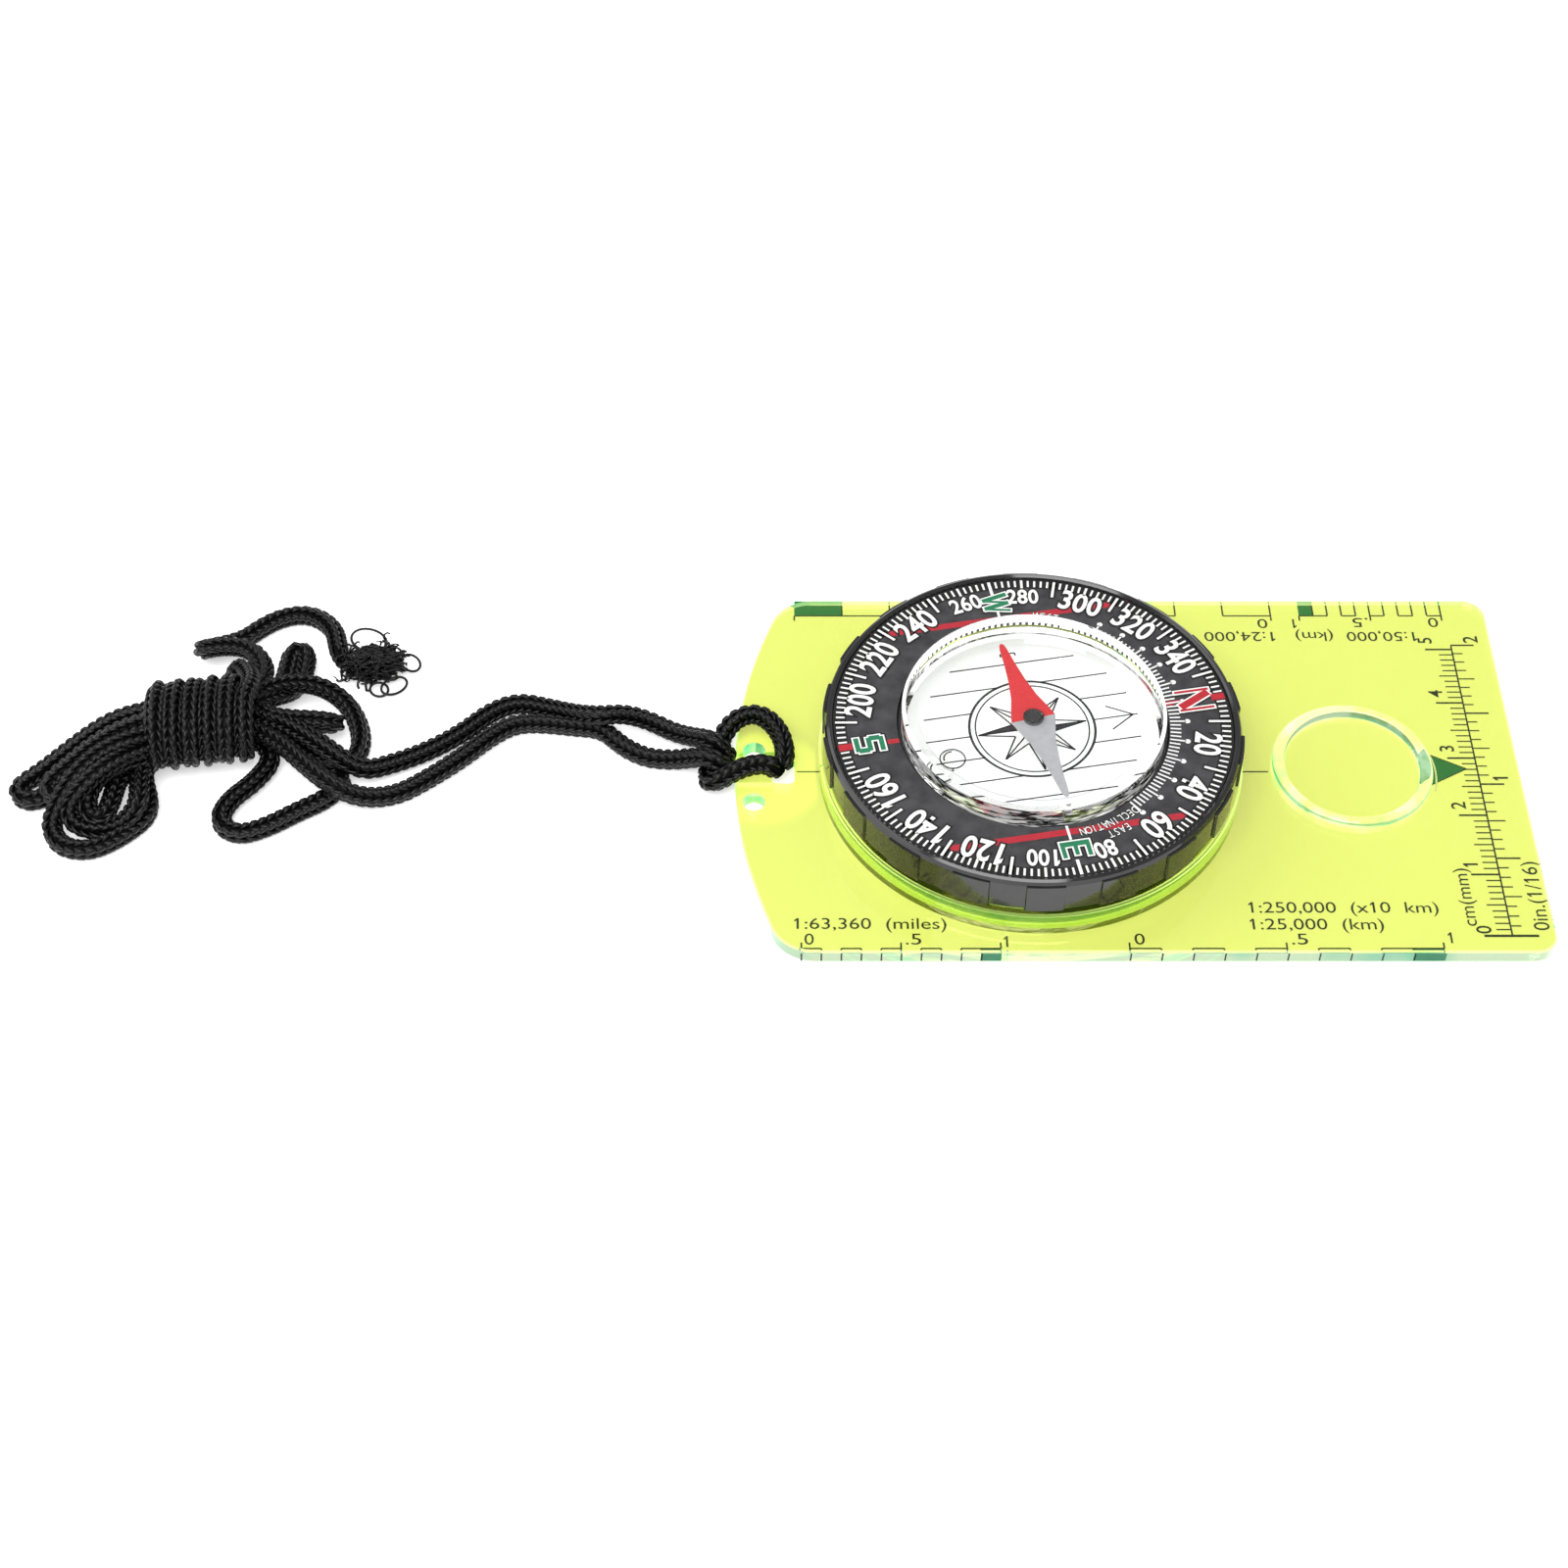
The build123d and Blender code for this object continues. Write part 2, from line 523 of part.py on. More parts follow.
make_baseplate()
make_bezel()
make_dial()
make_glide_ring()
make_capsule()
make_pivot()
make_needle()
make_bight()
make_cord("lanyard_hitch", HITCH)
make_cord("lanyard_leg_a", LEG_A)
make_cord("lanyard_leg_b", LEG_B)
make_cord("lanyard_big_loop", BIG_LOOP)
make_cord("lanyard_small_loop", SMALL_LOOP)
make_cord("lanyard_low_loop", LOW_LOOP)
make_cord("lanyard_high_loop", HIGH_LOOP)
make_hank()
make_tassel()
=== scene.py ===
"""Baseplate compass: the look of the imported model, built round its frame.

Lengths are written in millimetres and turned to metres by MM. The bezel's axis, the plate's edges and the
heights of prints and needle come from the frame's boxes.
"""
import math

import bmesh
import bpy
import numpy as np
from mathutils import Euler, Matrix, Vector


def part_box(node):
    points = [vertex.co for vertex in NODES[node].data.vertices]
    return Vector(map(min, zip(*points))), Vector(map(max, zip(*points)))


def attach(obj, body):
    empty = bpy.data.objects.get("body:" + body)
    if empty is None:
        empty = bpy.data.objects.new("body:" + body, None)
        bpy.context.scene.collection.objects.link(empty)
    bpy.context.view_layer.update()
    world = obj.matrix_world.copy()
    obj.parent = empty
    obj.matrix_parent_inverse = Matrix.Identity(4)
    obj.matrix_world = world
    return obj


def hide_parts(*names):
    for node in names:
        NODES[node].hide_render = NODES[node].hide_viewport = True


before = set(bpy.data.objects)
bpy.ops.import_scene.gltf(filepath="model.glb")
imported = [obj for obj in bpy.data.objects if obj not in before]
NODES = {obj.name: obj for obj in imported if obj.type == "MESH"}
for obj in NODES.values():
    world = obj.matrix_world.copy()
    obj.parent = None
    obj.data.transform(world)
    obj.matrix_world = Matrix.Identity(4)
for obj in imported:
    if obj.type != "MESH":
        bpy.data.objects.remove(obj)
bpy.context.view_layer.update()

MM = 0.001
PLATE_LOW, PLATE_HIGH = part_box("baseplate")
BEZEL_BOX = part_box("bezel_ring")
AXIS = Vector((BEZEL_BOX[0] + BEZEL_BOX[1]) / 2)
AXIS.z = 0.0
LENS_X = 30.1 * MM
CORD_HOLE = (-48.5 * MM, -1.5 * MM)
NORTH = 10.3                 # angle of the dial's N mark from +X, in degrees
NEEDLE_ANGLE = 105.0         # angle of the needle's north tip from +X
CAPSULE_FLOOR = 1.0 * MM     # thickness of the capsule's floor
CAPSULE_INNER = 15.3 * MM    # radius of its hollow
LAMP_SIZE, LAMP_AIM = 0.6, Vector((-0.03, 0, 0))


# ---------------------------------------------------------------- camera, floor and light

def make_camera():
    data = bpy.data.cameras.new("camera")
    data.lens = 63.6
    data.sensor_width = 36.0
    data.clip_start, data.clip_end = 0.01, 20.0
    camera = bpy.data.objects.new("camera", data)
    camera.location = (-45.9 * MM, -242.0 * MM, 282.7 * MM)
    camera.rotation_euler = Euler((math.radians(40.4), 0, 0))
    bpy.context.scene.collection.objects.link(camera)
    bpy.context.scene.camera = camera


def link(name, mesh):
    piece = bpy.data.objects.new(name, mesh)
    bpy.context.scene.collection.objects.link(piece)
    return piece


def make_floor():
    mesh = bpy.data.meshes.new("floor")
    reach, low = 6.0, -0.02 * MM
    corners = [(-reach, -reach, low), (reach, -reach, low), (reach, reach, low), (-reach, reach, low)]
    mesh.from_pydata(corners, [], [(0, 1, 2, 3)])
    floor = link("floor", mesh)
    shader = Material("floor")
    shader.set(Base_Color=(0.86, 0.86, 0.86, 1), Roughness=0.9, Emission_Strength=0.5)
    shader.set(Emission_Color=(1, 1, 1, 1))
    floor.data.materials.append(shader.mat)


def area_light(name, place, power):
    data = bpy.data.lights.new(name, "AREA")
    data.size, data.energy = LAMP_SIZE, power
    lamp = bpy.data.objects.new(name, data)
    lamp.location = place
    lamp.rotation_euler = (LAMP_AIM - Vector(place)).to_track_quat("-Z", "Y").to_euler()
    bpy.context.scene.collection.objects.link(lamp)


def make_light():
    world = bpy.data.worlds.new("studio")
    bpy.context.scene.world = world
    world.use_nodes = True
    sky = world.node_tree.nodes["Background"]
    sky.inputs["Color"].default_value = (1, 1, 1, 1)
    sky.inputs["Strength"].default_value = 0.55
    area_light("key", (-0.15, -0.35, 0.80), 7.0)
    area_light("fill", (-0.55, 0.20, 0.55), 2.0)
    bpy.context.scene.view_settings.view_transform = "Standard"


# ---------------------------------------------------------------- materials

class Material:
    """A Principled material with short ways to set sockets and add nodes."""

    def __init__(self, name):
        self.mat = bpy.data.materials.new(name)
        self.mat.use_nodes = True
        self.tree = self.mat.node_tree
        self.bsdf = self.tree.nodes["Principled BSDF"]
        self.out = self.tree.nodes["Material Output"]

    def set(self, **values):
        for key, value in values.items():
            self.bsdf.inputs[key.replace("_", " ")].default_value = value
        return self

    def node(self, kind, **values):
        made = self.tree.nodes.new(kind)
        for key, value in values.items():
            if hasattr(made, key):
                setattr(made, key, value)
            else:
                made.inputs[key.replace("_", " ")].default_value = value
        return made

    def link(self, source, target):
        self.tree.links.new(source, target)

    def noise(self, scale, detail=4.0, roughness=0.6, stretch=(1, 1, 1)):
        coords = self.node("ShaderNodeTexCoord")
        sized = self.node("ShaderNodeVectorMath", operation="MULTIPLY")
        noise = self.node("ShaderNodeTexNoise", Scale=scale, Detail=detail, Roughness=roughness)
        self.link(coords.outputs["Object"], sized.inputs[0])
        sized.inputs[1].default_value = stretch
        self.link(sized.outputs[0], noise.inputs["Vector"])
        return noise.outputs["Fac"]

    def lean(self):
        """How level a face is, from 0 for a wall to 1, and the place on it."""
        facing = self.node("ShaderNodeNewGeometry")
        parts = self.node("ShaderNodeSeparateXYZ")
        self.link(facing.outputs["Normal"], parts.inputs[0])
        upright = self.node("ShaderNodeMath", operation="ABSOLUTE")
        self.link(parts.outputs["Z"], upright.inputs[0])
        return upright.outputs[0], facing.outputs["Position"]

    def ramp(self, source, *stops):
        ramp = self.node("ShaderNodeValToRGB")
        while len(ramp.color_ramp.elements) < len(stops):
            ramp.color_ramp.elements.new(0.5)
        for element, (place, colour) in zip(ramp.color_ramp.elements, stops):
            element.position = place
            element.color = colour if len(colour) == 4 else (*colour, 1)
        self.link(source, ramp.inputs["Fac"])
        return ramp.outputs["Color"]

    def span(self, source, low, high):
        spread = self.node("ShaderNodeMapRange")
        spread.inputs["To Min"].default_value = low
        spread.inputs["To Max"].default_value = high
        self.link(source, spread.inputs["Value"])
        return spread.outputs["Result"]

    def scaled(self, source, factor):
        product = self.node("ShaderNodeMath", operation="MULTIPLY")
        self.link(source, product.inputs[0])
        product.inputs[1].default_value = factor
        return product.outputs[0]

    def bump(self, height, strength, distance):
        bump = self.node("ShaderNodeBump", Strength=strength, Distance=distance)
        self.link(height, bump.inputs["Height"])
        self.link(bump.outputs["Normal"], self.bsdf.inputs["Normal"])

    def lets_lamps_through(self, colour):
        """Lamps and bounced light pass straight through, tinted."""
        path = self.node("ShaderNodeLightPath")
        clear = self.node("ShaderNodeBsdfTransparent", Color=colour)
        either = self.node("ShaderNodeMath", operation="MAXIMUM")
        mix = self.node("ShaderNodeMixShader")
        self.link(path.outputs["Is Shadow Ray"], either.inputs[0])
        self.link(path.outputs["Is Diffuse Ray"], either.inputs[1])
        self.link(either.outputs[0], mix.inputs["Fac"])
        self.link(self.bsdf.outputs[0], mix.inputs[1])
        self.link(clear.outputs[0], mix.inputs[2])
        self.link(mix.outputs[0], self.out.inputs["Surface"])


def from_axis(m, position, x, y):
    """The distance of a position from an upright axis."""
    flat = m.node("ShaderNodeVectorMath", operation="MULTIPLY")
    m.link(position, flat.inputs[0])
    flat.inputs[1].default_value = (1, 1, 0)
    away = m.node("ShaderNodeVectorMath", operation="DISTANCE")
    m.link(flat.outputs[0], away.inputs[0])
    away.inputs[1].default_value = (x, y, 0)
    return away.outputs["Value"]


def zone(m, position, x, y, reach):
    """The distance of a position from an upright axis, as a share of a reach."""
    return m.scaled(from_axis(m, position, x, y), 1 / reach)


def blended(m, share, first, second):
    mix = m.node("ShaderNodeMix", data_type="RGBA")
    m.link(share, mix.inputs[0])
    m.link(first, mix.inputs[6])
    m.link(second, mix.inputs[7])
    return mix.outputs[2]


def plate_material():
    """Clear fluorescent acrylic with a painted glow: its cut edges get pale green emission, stronger round
    its holes.
    """
    m = Material("plate_acrylic")
    m.set(Base_Color=(0.565, 0.60, 0.215, 1), IOR=1.49, Transmission_Weight=1.0)
    m.link(m.span(m.noise(700, 3), 0.0, 0.05), m.bsdf.inputs["Roughness"])
    m.bump(m.noise(60, 2), 0.06, 0.2 * MM)
    lean, place = m.lean()
    # painted glow: pale or deep green on steep cut faces in random patches, faint on level faces
    flat = (0.97, (0.006, 0.009, 0.0))
    black, white = (0, 0, 0), (1, 1, 1)
    pale = m.ramp(lean, (0.0, (0.52, 0.68, 0.46)), (0.75, (0.34, 0.55, 0.30)), flat)
    deep = m.ramp(lean, (0.0, (0.05, 0.46, 0.30)), (0.75, (0.10, 0.42, 0.14)), flat)
    glow_patches = m.ramp(m.noise(45, 2), (0.50, black), (0.60, white))
    edge = blended(m, glow_patches, pale, deep)
    # painted light round the cord's holes: a green glow on their walls, and a lift on the level faces against
    # the cord's shadow
    green = m.ramp(lean, (0.0, (0.02, 0.42, 0.14)), (0.75, (0.05, 0.40, 0.10)), (0.97, (0.13, 0.16, 0.01)))
    hole_glow_mask = m.ramp(zone(m, place, *CORD_HOLE, 10 * MM), (0.72, white), (0.84, black))
    edge = blended(m, hole_glow_mask, edge, green)
    # the turret: a clear wall with a green snap groove inside it, given painted glow: dim on the wall, green
    # on the groove, almost none further in
    turret = zone(m, place, AXIS.x, 0, 30 * MM)
    wall = m.ramp(lean, (0.0, (0.09, 0.13, 0.0)), (0.9, (0.20, 0.30, 0.06)), flat)
    groove = m.ramp(lean, (0.0, (0.01, 0.22, 0.06)), (0.9, (0.02, 0.20, 0.05)), flat)
    unlit = m.ramp(lean, (0.0, (0.01, 0.015, 0.0)), flat)
    edge = blended(m, m.ramp(turret, (0.945, white), (0.955, black)), edge, wall)
    edge = blended(m, m.ramp(turret, (0.915, white), (0.92, black)), edge, groove)
    edge = blended(m, m.ramp(turret, (0.86, white), (0.865, black)), edge, unlit)
    # the lens rim: painted glow and reflection, pale, with green streaks
    lens = zone(m, place, LENS_X, 0, 12 * MM)
    streaks = m.noise(170, 3)
    rim = m.ramp(streaks, (0.40, (0.42, 0.55, 0.38)), (0.52, (0.22, 0.34, 0.14)), (0.60, (0.02, 0.32, 0.12)))
    edge = blended(m, m.ramp(lens, (0.74, black), (0.76, white), (0.88, white), (0.90, black)), edge, rim)
    # all of this painted glow goes out as emission
    m.link(edge, m.bsdf.inputs["Emission Color"])
    m.bsdf.inputs["Emission Strength"].default_value = 1.0
    m.lets_lamps_through((0.97, 1.0, 0.6, 1))
    return m.mat


def capsule_material():
    m = Material("capsule_clear")
    m.set(IOR=1.46, Transmission_Weight=1.0)
    m.link(m.span(m.noise(900, 3), 0.0, 0.03), m.bsdf.inputs["Roughness"])
    m.bump(m.noise(250, 3), 0.05, 0.1 * MM)
    # painted refraction streaks: light and dark streaks painted into the wall's colour and glow, none in the
    # level faces
    lean, _ = m.lean()
    black, painted_streak_shade, clear = (0, 0, 0), (0.12, 0.12, 0.12), (0.99, 1.0, 0.992)
    streaks = m.noise(150, 3, 0.6, (1, 1, 5))
    # the dark streaks: painted shade in the colour
    dark = m.ramp(streaks, (0.45, clear), (0.48, painted_streak_shade), (0.52, painted_streak_shade), (0.56, clear))
    level = m.ramp(lean, (0.3, black), (0.6, (1, 1, 1)))
    untinted = m.ramp(lean, (0.0, clear), (1.0, clear))
    m.link(blended(m, level, dark, untinted), m.bsdf.inputs["Base Color"])
    # the light streaks: painted glow
    glow = m.ramp(streaks, (0.43, (0.4, 0.4, 0.4)), (0.47, black), (0.53, black), (0.57, (0.5, 0.5, 0.49)))
    unlit = m.ramp(lean, (0.0, black), (1.0, black))
    m.link(blended(m, level, glow, unlit), m.bsdf.inputs["Emission Color"])
    m.bsdf.inputs["Emission Strength"].default_value = 0.8
    m.lets_lamps_through((0.985, 1.0, 0.99, 1))
    return m.mat


def wetted_material():
    """Faces inside the capsule: the damping liquid has the plastic's own index, so they don't show."""
    m = Material("capsule_wetted")
    m.link(m.span(m.noise(900, 3), 0.0, 0.03), m.bsdf.inputs["Roughness"])
    m.set(Base_Color=(1, 1, 1, 1), Alpha=0.0)
    return m.mat


def plastic_material(name, colour, rough, grain=1500, height=0.08, coat=0.0, spread=0.25, gloss=0.5):
    """Moulded plastic: a fine grain, a little dust and patchy gloss."""
    m = Material(name)
    shade = tuple(c * (1 - spread) for c in colour)
    light = tuple(min(1, c * (1 + spread) + 0.004) for c in colour)
    m.link(m.ramp(m.noise(380, 5), (0.35, shade), (0.65, light)), m.bsdf.inputs["Base Color"])
    m.link(m.span(m.noise(220, 4), *rough), m.bsdf.inputs["Roughness"])
    m.bump(m.noise(grain, 4), height, 0.05 * MM)
    m.bsdf.inputs["Coat Weight"].default_value = coat
    m.bsdf.inputs["Specular IOR Level"].default_value = gloss
    return m.mat


def ink_material(name, colour):
    m = Material(name)
    shade = tuple(c * 0.8 for c in colour)
    m.link(m.ramp(m.noise(2500, 3), (0.3, shade), (0.6, colour)), m.bsdf.inputs["Base Color"])
    m.set(Roughness=0.45)
    m.bump(m.noise(5000, 2), 0.1, 0.02 * MM)
    return m.mat


def steel_material():
    m = Material("steel")
    colour = (0.55, 0.55, 0.56)
    shade = tuple(c * 0.75 for c in colour)
    m.link(m.ramp(m.noise(1200, 3), (0.3, shade), (0.7, colour)), m.bsdf.inputs["Base Color"])
    m.set(Metallic=1.0)
    m.link(m.span(m.noise(2500, 3), 0.175, 0.35), m.bsdf.inputs["Roughness"])
    return m.mat


def cord_material(name="cord", dark=0.001, light=0.004, gloss=0.28):
    """Black knitted polyester: dark, slightly lustrous yarn with fine filaments."""
    m = Material(name)
    m.link(m.ramp(m.noise(1400, 5), (0.35, (dark, dark, dark)), (0.7, (light, light, light * 1.05))),
           m.bsdf.inputs["Base Color"])
    m.link(m.span(m.noise(600, 3), 0.26, 0.44), m.bsdf.inputs["Roughness"])
    m.bsdf.inputs["Specular IOR Level"].default_value = gloss
    m.bump(m.noise(7000, 4, 0.7), 0.4, 0.06 * MM)
    return m.mat


# ---------------------------------------------------------------- flat printed shapes

CAP_HEIGHT = 0.69            # of the font's capitals, as a share of its size


class Print:
    """Flat inked shapes gathered in one mesh, lying at a height."""

    def __init__(self, name, height):
        self.name, self.height = name, height
        self.bm = bmesh.new()

    def polygon(self, points, rise=0.0):
        verts = [self.bm.verts.new((x * MM, y * MM, self.height + rise * MM)) for x, y in points]
        face = self.bm.faces.new(verts)
        if signed_area(points) < 0:
            face.normal_flip()

    def bar(self, start, end, width, rise=0.0):
        """A straight stroke between two points. A rise keeps crossing strokes from sharing one plane."""
        (x0, y0), (x1, y1) = start, end
        length = math.hypot(x1 - x0, y1 - y0)
        nx, ny = -(y1 - y0) / length * width / 2, (x1 - x0) / length * width / 2
        self.polygon([(x0 - nx, y0 - ny), (x1 - nx, y1 - ny), (x1 + nx, y1 + ny), (x0 + nx, y0 + ny)], rise)

    def post(self, x0, x1, y, low=0.15, high=1.7):
        """A painted reflection: the image of a printed bar as seen in the plate's cut edge, drawn as an
        upright mark just outside it.
        """
        corners = ((x0, low), (x1, low), (x1, high), (x0, high))
        self.bm.faces.new([self.bm.verts.new((x * MM, y * MM, z * MM)) for x, z in corners])

    def disc(self, x, y, radius, sides=16):
        turns = [2 * math.pi / sides * i for i in range(sides)]
        self.polygon([(x + radius * math.cos(turn), y + radius * math.sin(turn)) for turn in turns])

    def arc(self, x, y, radius, width, start=0.0, end=360.0, sides=96):
        """A ring, or the part of it between two angles."""
        turns = [math.radians(start + (end - start) * i / sides) for i in range(sides + 1)]
        inner, outer = radius - width / 2, radius + width / 2
        for a, b in zip(turns, turns[1:]):
            self.polygon([(x + r * math.cos(t), y + r * math.sin(t))
                          for r, t in ((inner, a), (outer, a), (outer, b), (inner, b))])

    def text(self, words, x, y, size, angle=0.0, squeeze=1.0, weight=0.0, align="CENTER", spacing=1.0,
             wide=None):
        """Lettering with capitals as tall as size, centred on a point, or starting there if align is LEFT.
        wide squeezes it to a length."""
        curve = bpy.data.curves.new("letters", "FONT")
        curve.body, curve.size = words, 1.0
        curve.align_y = "CENTER"
        curve.space_character = spacing
        curve.resolution_u = 4
        curve.offset = weight
        mesh = self.letters(curve)
        edges = [vertex.co.x for vertex in mesh.vertices]
        middle = (min(edges) + max(edges)) / 2 if align == "CENTER" else min(edges)
        scale = size / CAP_HEIGHT * MM
        if wide:
            squeeze = wide * MM / scale / (max(edges) - min(edges))
        place = Matrix.Translation((x * MM, y * MM, self.height))
        place @= Matrix.Rotation(math.radians(angle), 4, "Z")
        place @= Matrix.Diagonal((scale * squeeze, scale, 1, 1))
        place @= Matrix.Translation((-middle, 0, 0))
        top = max(vertex.co.y for vertex in mesh.vertices)
        mesh.transform(place)
        self.bm.from_mesh(mesh)
        bpy.data.meshes.remove(mesh)
        for index, letter in enumerate(words):
            if letter == "1":
                curve.body = words[:index + 1]
                upto = self.letters(curve)
                right = max(vertex.co.x for vertex in upto.vertices)
                bpy.data.meshes.remove(upto)
                self.flag(place, right - 0.075 - 2 * weight, top, weight)
        bpy.data.curves.remove(curve)

    def letters(self, curve):
        return bpy.data.meshes.new_from_object(bpy.data.objects.new("letters", curve))

    def flag(self, place, stem, top, weight):
        """The short stroke at the head of a 1."""
        drop = 0.11 + weight * 2
        corners = ((stem + 0.02, top), (stem - 0.12, top - 0.13), (stem - 0.12, top - 0.13 - drop),
                   (stem + 0.02, top - drop))
        self.bm.faces.new([self.bm.verts.new(place @ Vector((*corner, 0.004 * MM))) for corner in corners])

    def done(self, material, body):
        mesh = bpy.data.meshes.new(self.name)
        self.bm.to_mesh(mesh)
        self.bm.free()
        piece = link(self.name, mesh)
        piece.data.materials.append(material)
        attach(piece, body)
        return piece


def signed_area(points):
    shifted = points[1:] + points[:1]
    return sum(x0 * y1 - x1 * y0 for (x0, y0), (x1, y1) in zip(points, shifted)) / 2


# ---------------------------------------------------------------- plate prints

INK_LINE = 0.22
PRINT_Z = 0.04 * MM          # the ink lies on the underside of the plate
LABEL = 1.75                 # height of the plate's lettering
SCALE_BOXES = 10


def scale_bar(ink, start, length, edge, up, deep):
    """A map scale of ten boxes, every second one drawn. Returns the ends of the last one, to be filled."""
    step = length / SCALE_BOXES
    line = edge + up * deep
    for index in range(0, SCALE_BOXES, 2):
        a, b = start + index * step, start + (index + 1) * step
        ink.bar((a, line), (b, line), INK_LINE)
        for x in (a, b):
            ink.bar((x, edge + up * 0.05), (x, line), INK_LINE, 0.004)
            # its painted reflection in the plate's cut edge
            ink.post(x - INK_LINE / 2, x + INK_LINE / 2, edge - up * 0.02)
    for share in (0, 0.5, 1):
        x = start + share * length
        ink.bar((x, line), (x, line + up * 0.95), INK_LINE, 0.004)
    fill_a, fill_b = start + length - step, start + length
    ink.bar((fill_a, line), (fill_b, line), INK_LINE)
    return (min(fill_a, fill_b), max(fill_a, fill_b))


def make_plate_prints():
    ink = Print("scale_print", PRINT_Z)
    green = Print("scale_print_green", PRINT_Z - 0.02 * MM)
    pale = Print("painted_lens_glint", PRINT_Z + 0.02 * MM)
    near, far = PLATE_LOW.y / MM, PLATE_HIGH.y / MM
    # near edge: a statute mile at 1:63,360 and a kilometre at 1:25,000
    # far edge: a kilometre at 1:50,000 and a statute mile at 1:24,000
    for start, length, edge, up, deep in ((-43.7, 25.4, near, 1, 1.4), (-1.9, 40.0, near, 1, 1.4),
                                          (46.6, -20.0, far, -1, 2.1), (22.6, -67.06, far, -1, 2.1)):
        a, b = scale_bar(ink, start, length, edge, up, deep)
        rim, line = edge + up * 0.05, edge + up * deep
        green.polygon([(a, rim), (b, rim), (b, line), (a, line)])
        # the box's painted reflection in the plate's cut edge
        green.post(a, b, edge - up * 0.02)
    labels = (
        ("1:63,360  (miles)", -44.3, -25.7, 19.2),
        ("0", -43.3, -28.2, 1.2), (".5", -30.4, -28.2, 2.0), ("1", -17.6, -28.6, None),
        ("0", -1.2, -28.2, 1.3), (".5", 18.8, -28.2, 2.1), ("1", 39.1, -28.0, None),
        ("1:250,000  (x10  km)", 14.2, -23.1, 24.1), ("1:25,000  (km)", 14.1, -25.8, 16.8),
    )
    for words, x, y, wide in labels:
        ink.text(words, x, y, LABEL, align="LEFT", wide=wide)
    turned = (
        ("0", 46.0, 27.7, 1.4), (".5", 36.2, 27.7, 2.2), ("1", 25.8, 27.5, None), ("0", 22.0, 27.5, 1.4),
        ("1:50,000  (km)", 42.3, 25.0, 16.6), ("1:24,000", 22.5, 25.0, 9.6),
    )
    for words, x, y, wide in turned:
        ink.text(words, x, y, LABEL, angle=180, align="LEFT", wide=wide)
    # ruler
    spine, zero = 47.1, -27.6
    ink.bar((spine, zero), (spine, zero + 50.8), INK_LINE)
    ink.bar((spine - 3.6, zero), (spine + 3.4, zero), 0.38, 0.004)
    for mm in range(1, 51):
        reach = 3.7 if mm % 10 == 0 else 2.5 if mm % 5 == 0 else 1.9
        ink.bar((spine - reach, zero + mm), (spine, zero + mm), 0.30 if mm % 10 == 0 else 0.21, 0.004)
    for part in range(1, 33):
        y = zero + part * 25.4 / 16
        reach = 3.2 if part % 8 == 0 else 2.3 if part % 4 == 0 else 1.4
        ink.bar((spine, y), (spine + reach, y), 0.28 if part % 8 == 0 else 0.21, 0.008)
    for cm in range(6):
        ink.text(str(cm), spine - 3.4, zero + 10 * cm + (1.7 if cm else 1.0), 1.9, angle=90, weight=0.008)
    for inch in range(1, 3):
        ink.text(str(inch), spine + 3.0, zero + 25.4 * inch + 1.1, 2.0, angle=90, weight=0.008)
    ink.text("cm(mm)", spine - 5.0, zero + 6.3, 1.8, angle=90, wide=9.4)
    ink.text("0in.(1/16)", spine + 4.1, zero + 6.5, 2.0, angle=90, wide=11.2)
    # centre line and travel arrow, the arrow cut by a painted glint: a pale arc round the lens standing in
    # for the glint on the lens rim
    ink.bar((-44.2, 0), (-41.3, 0), INK_LINE)
    ink.bar((14.9, 0), (19.0, 0), INK_LINE)
    tip, left, right = (45.7, 0.5), (39.9, 3.6), (39.9, -2.7)
    green.polygon([left, tip, right])
    for corner in (left, right):
        ink.bar(corner, tip, 0.14, 0.004)
    # painted glint of the lens rim, in pale paint
    pale.arc(LENS_X / MM, 0, 11.35, 0.24, -18, 16, 12)
    ink.done(ink_material("ink_dark", (0.004, 0.012, 0.005)), "plate")
    green.done(ink_material("ink_green", (0.004, 0.17, 0.07)), "plate")
    pale.done(ink_material("painted_glint_pale", (0.75, 0.8, 0.72)), "plate")


# ---------------------------------------------------------------- dial prints

def polar(radius, degrees):
    """The point at a radius and a compass degree on the dial."""
    turn = math.radians(NORTH - degrees)
    return (AXIS.x / MM + radius * math.cos(turn), radius * math.sin(turn))


def radial(ink, inner, outer, degrees, width):
    ink.bar(polar(inner, degrees), polar(outer, degrees), width)


def dial_text(layers, words, radius, degrees, size, squeeze, weights, spacing=1.0):
    """Lettering on the dial, its top outwards, in one ink over another."""
    x, y = polar(radius, degrees)
    for ink, weight in zip(layers, weights):
        ink.text(words, x, y, size, NORTH - degrees - 90, squeeze, weight, spacing=spacing)


# Strokes of the four bold letters: their ends as shares of the letter's width and height, and their
# thickness in millimetres.
LETTER_STROKES = {
    "N": (((0.08, 0), (0.08, 1), 0.45), ((0.92, 0), (0.92, 1), 0.45), ((0.22, 0.96), (0.78, 0.04), 1.15)),
    "E": (((0.16, 0), (0.16, 1), 0.85), ((0.1, 0.08), (1, 0.08), 0.62), ((0.1, 0.5), (0.88, 0.5), 0.6),
          ((0.1, 0.92), (1, 0.92), 0.62)),
    "S": (((0.1, 0.9), (0.95, 0.9), 0.72), ((0.16, 0.52), (0.16, 0.88), 0.85), ((0.1, 0.5), (0.9, 0.5), 0.72),
          ((0.84, 0.12), (0.84, 0.48), 0.85), ((0.05, 0.1), (0.9, 0.1), 0.72)),
    "W": (((0.08, 1), (0.3, 0.05), 0.75), ((0.3, 0.05), (0.52, 1), 0.45), ((0.52, 1), (0.72, 0.05), 0.75),
          ((0.72, 0.05), (0.94, 1), 0.45)),
}


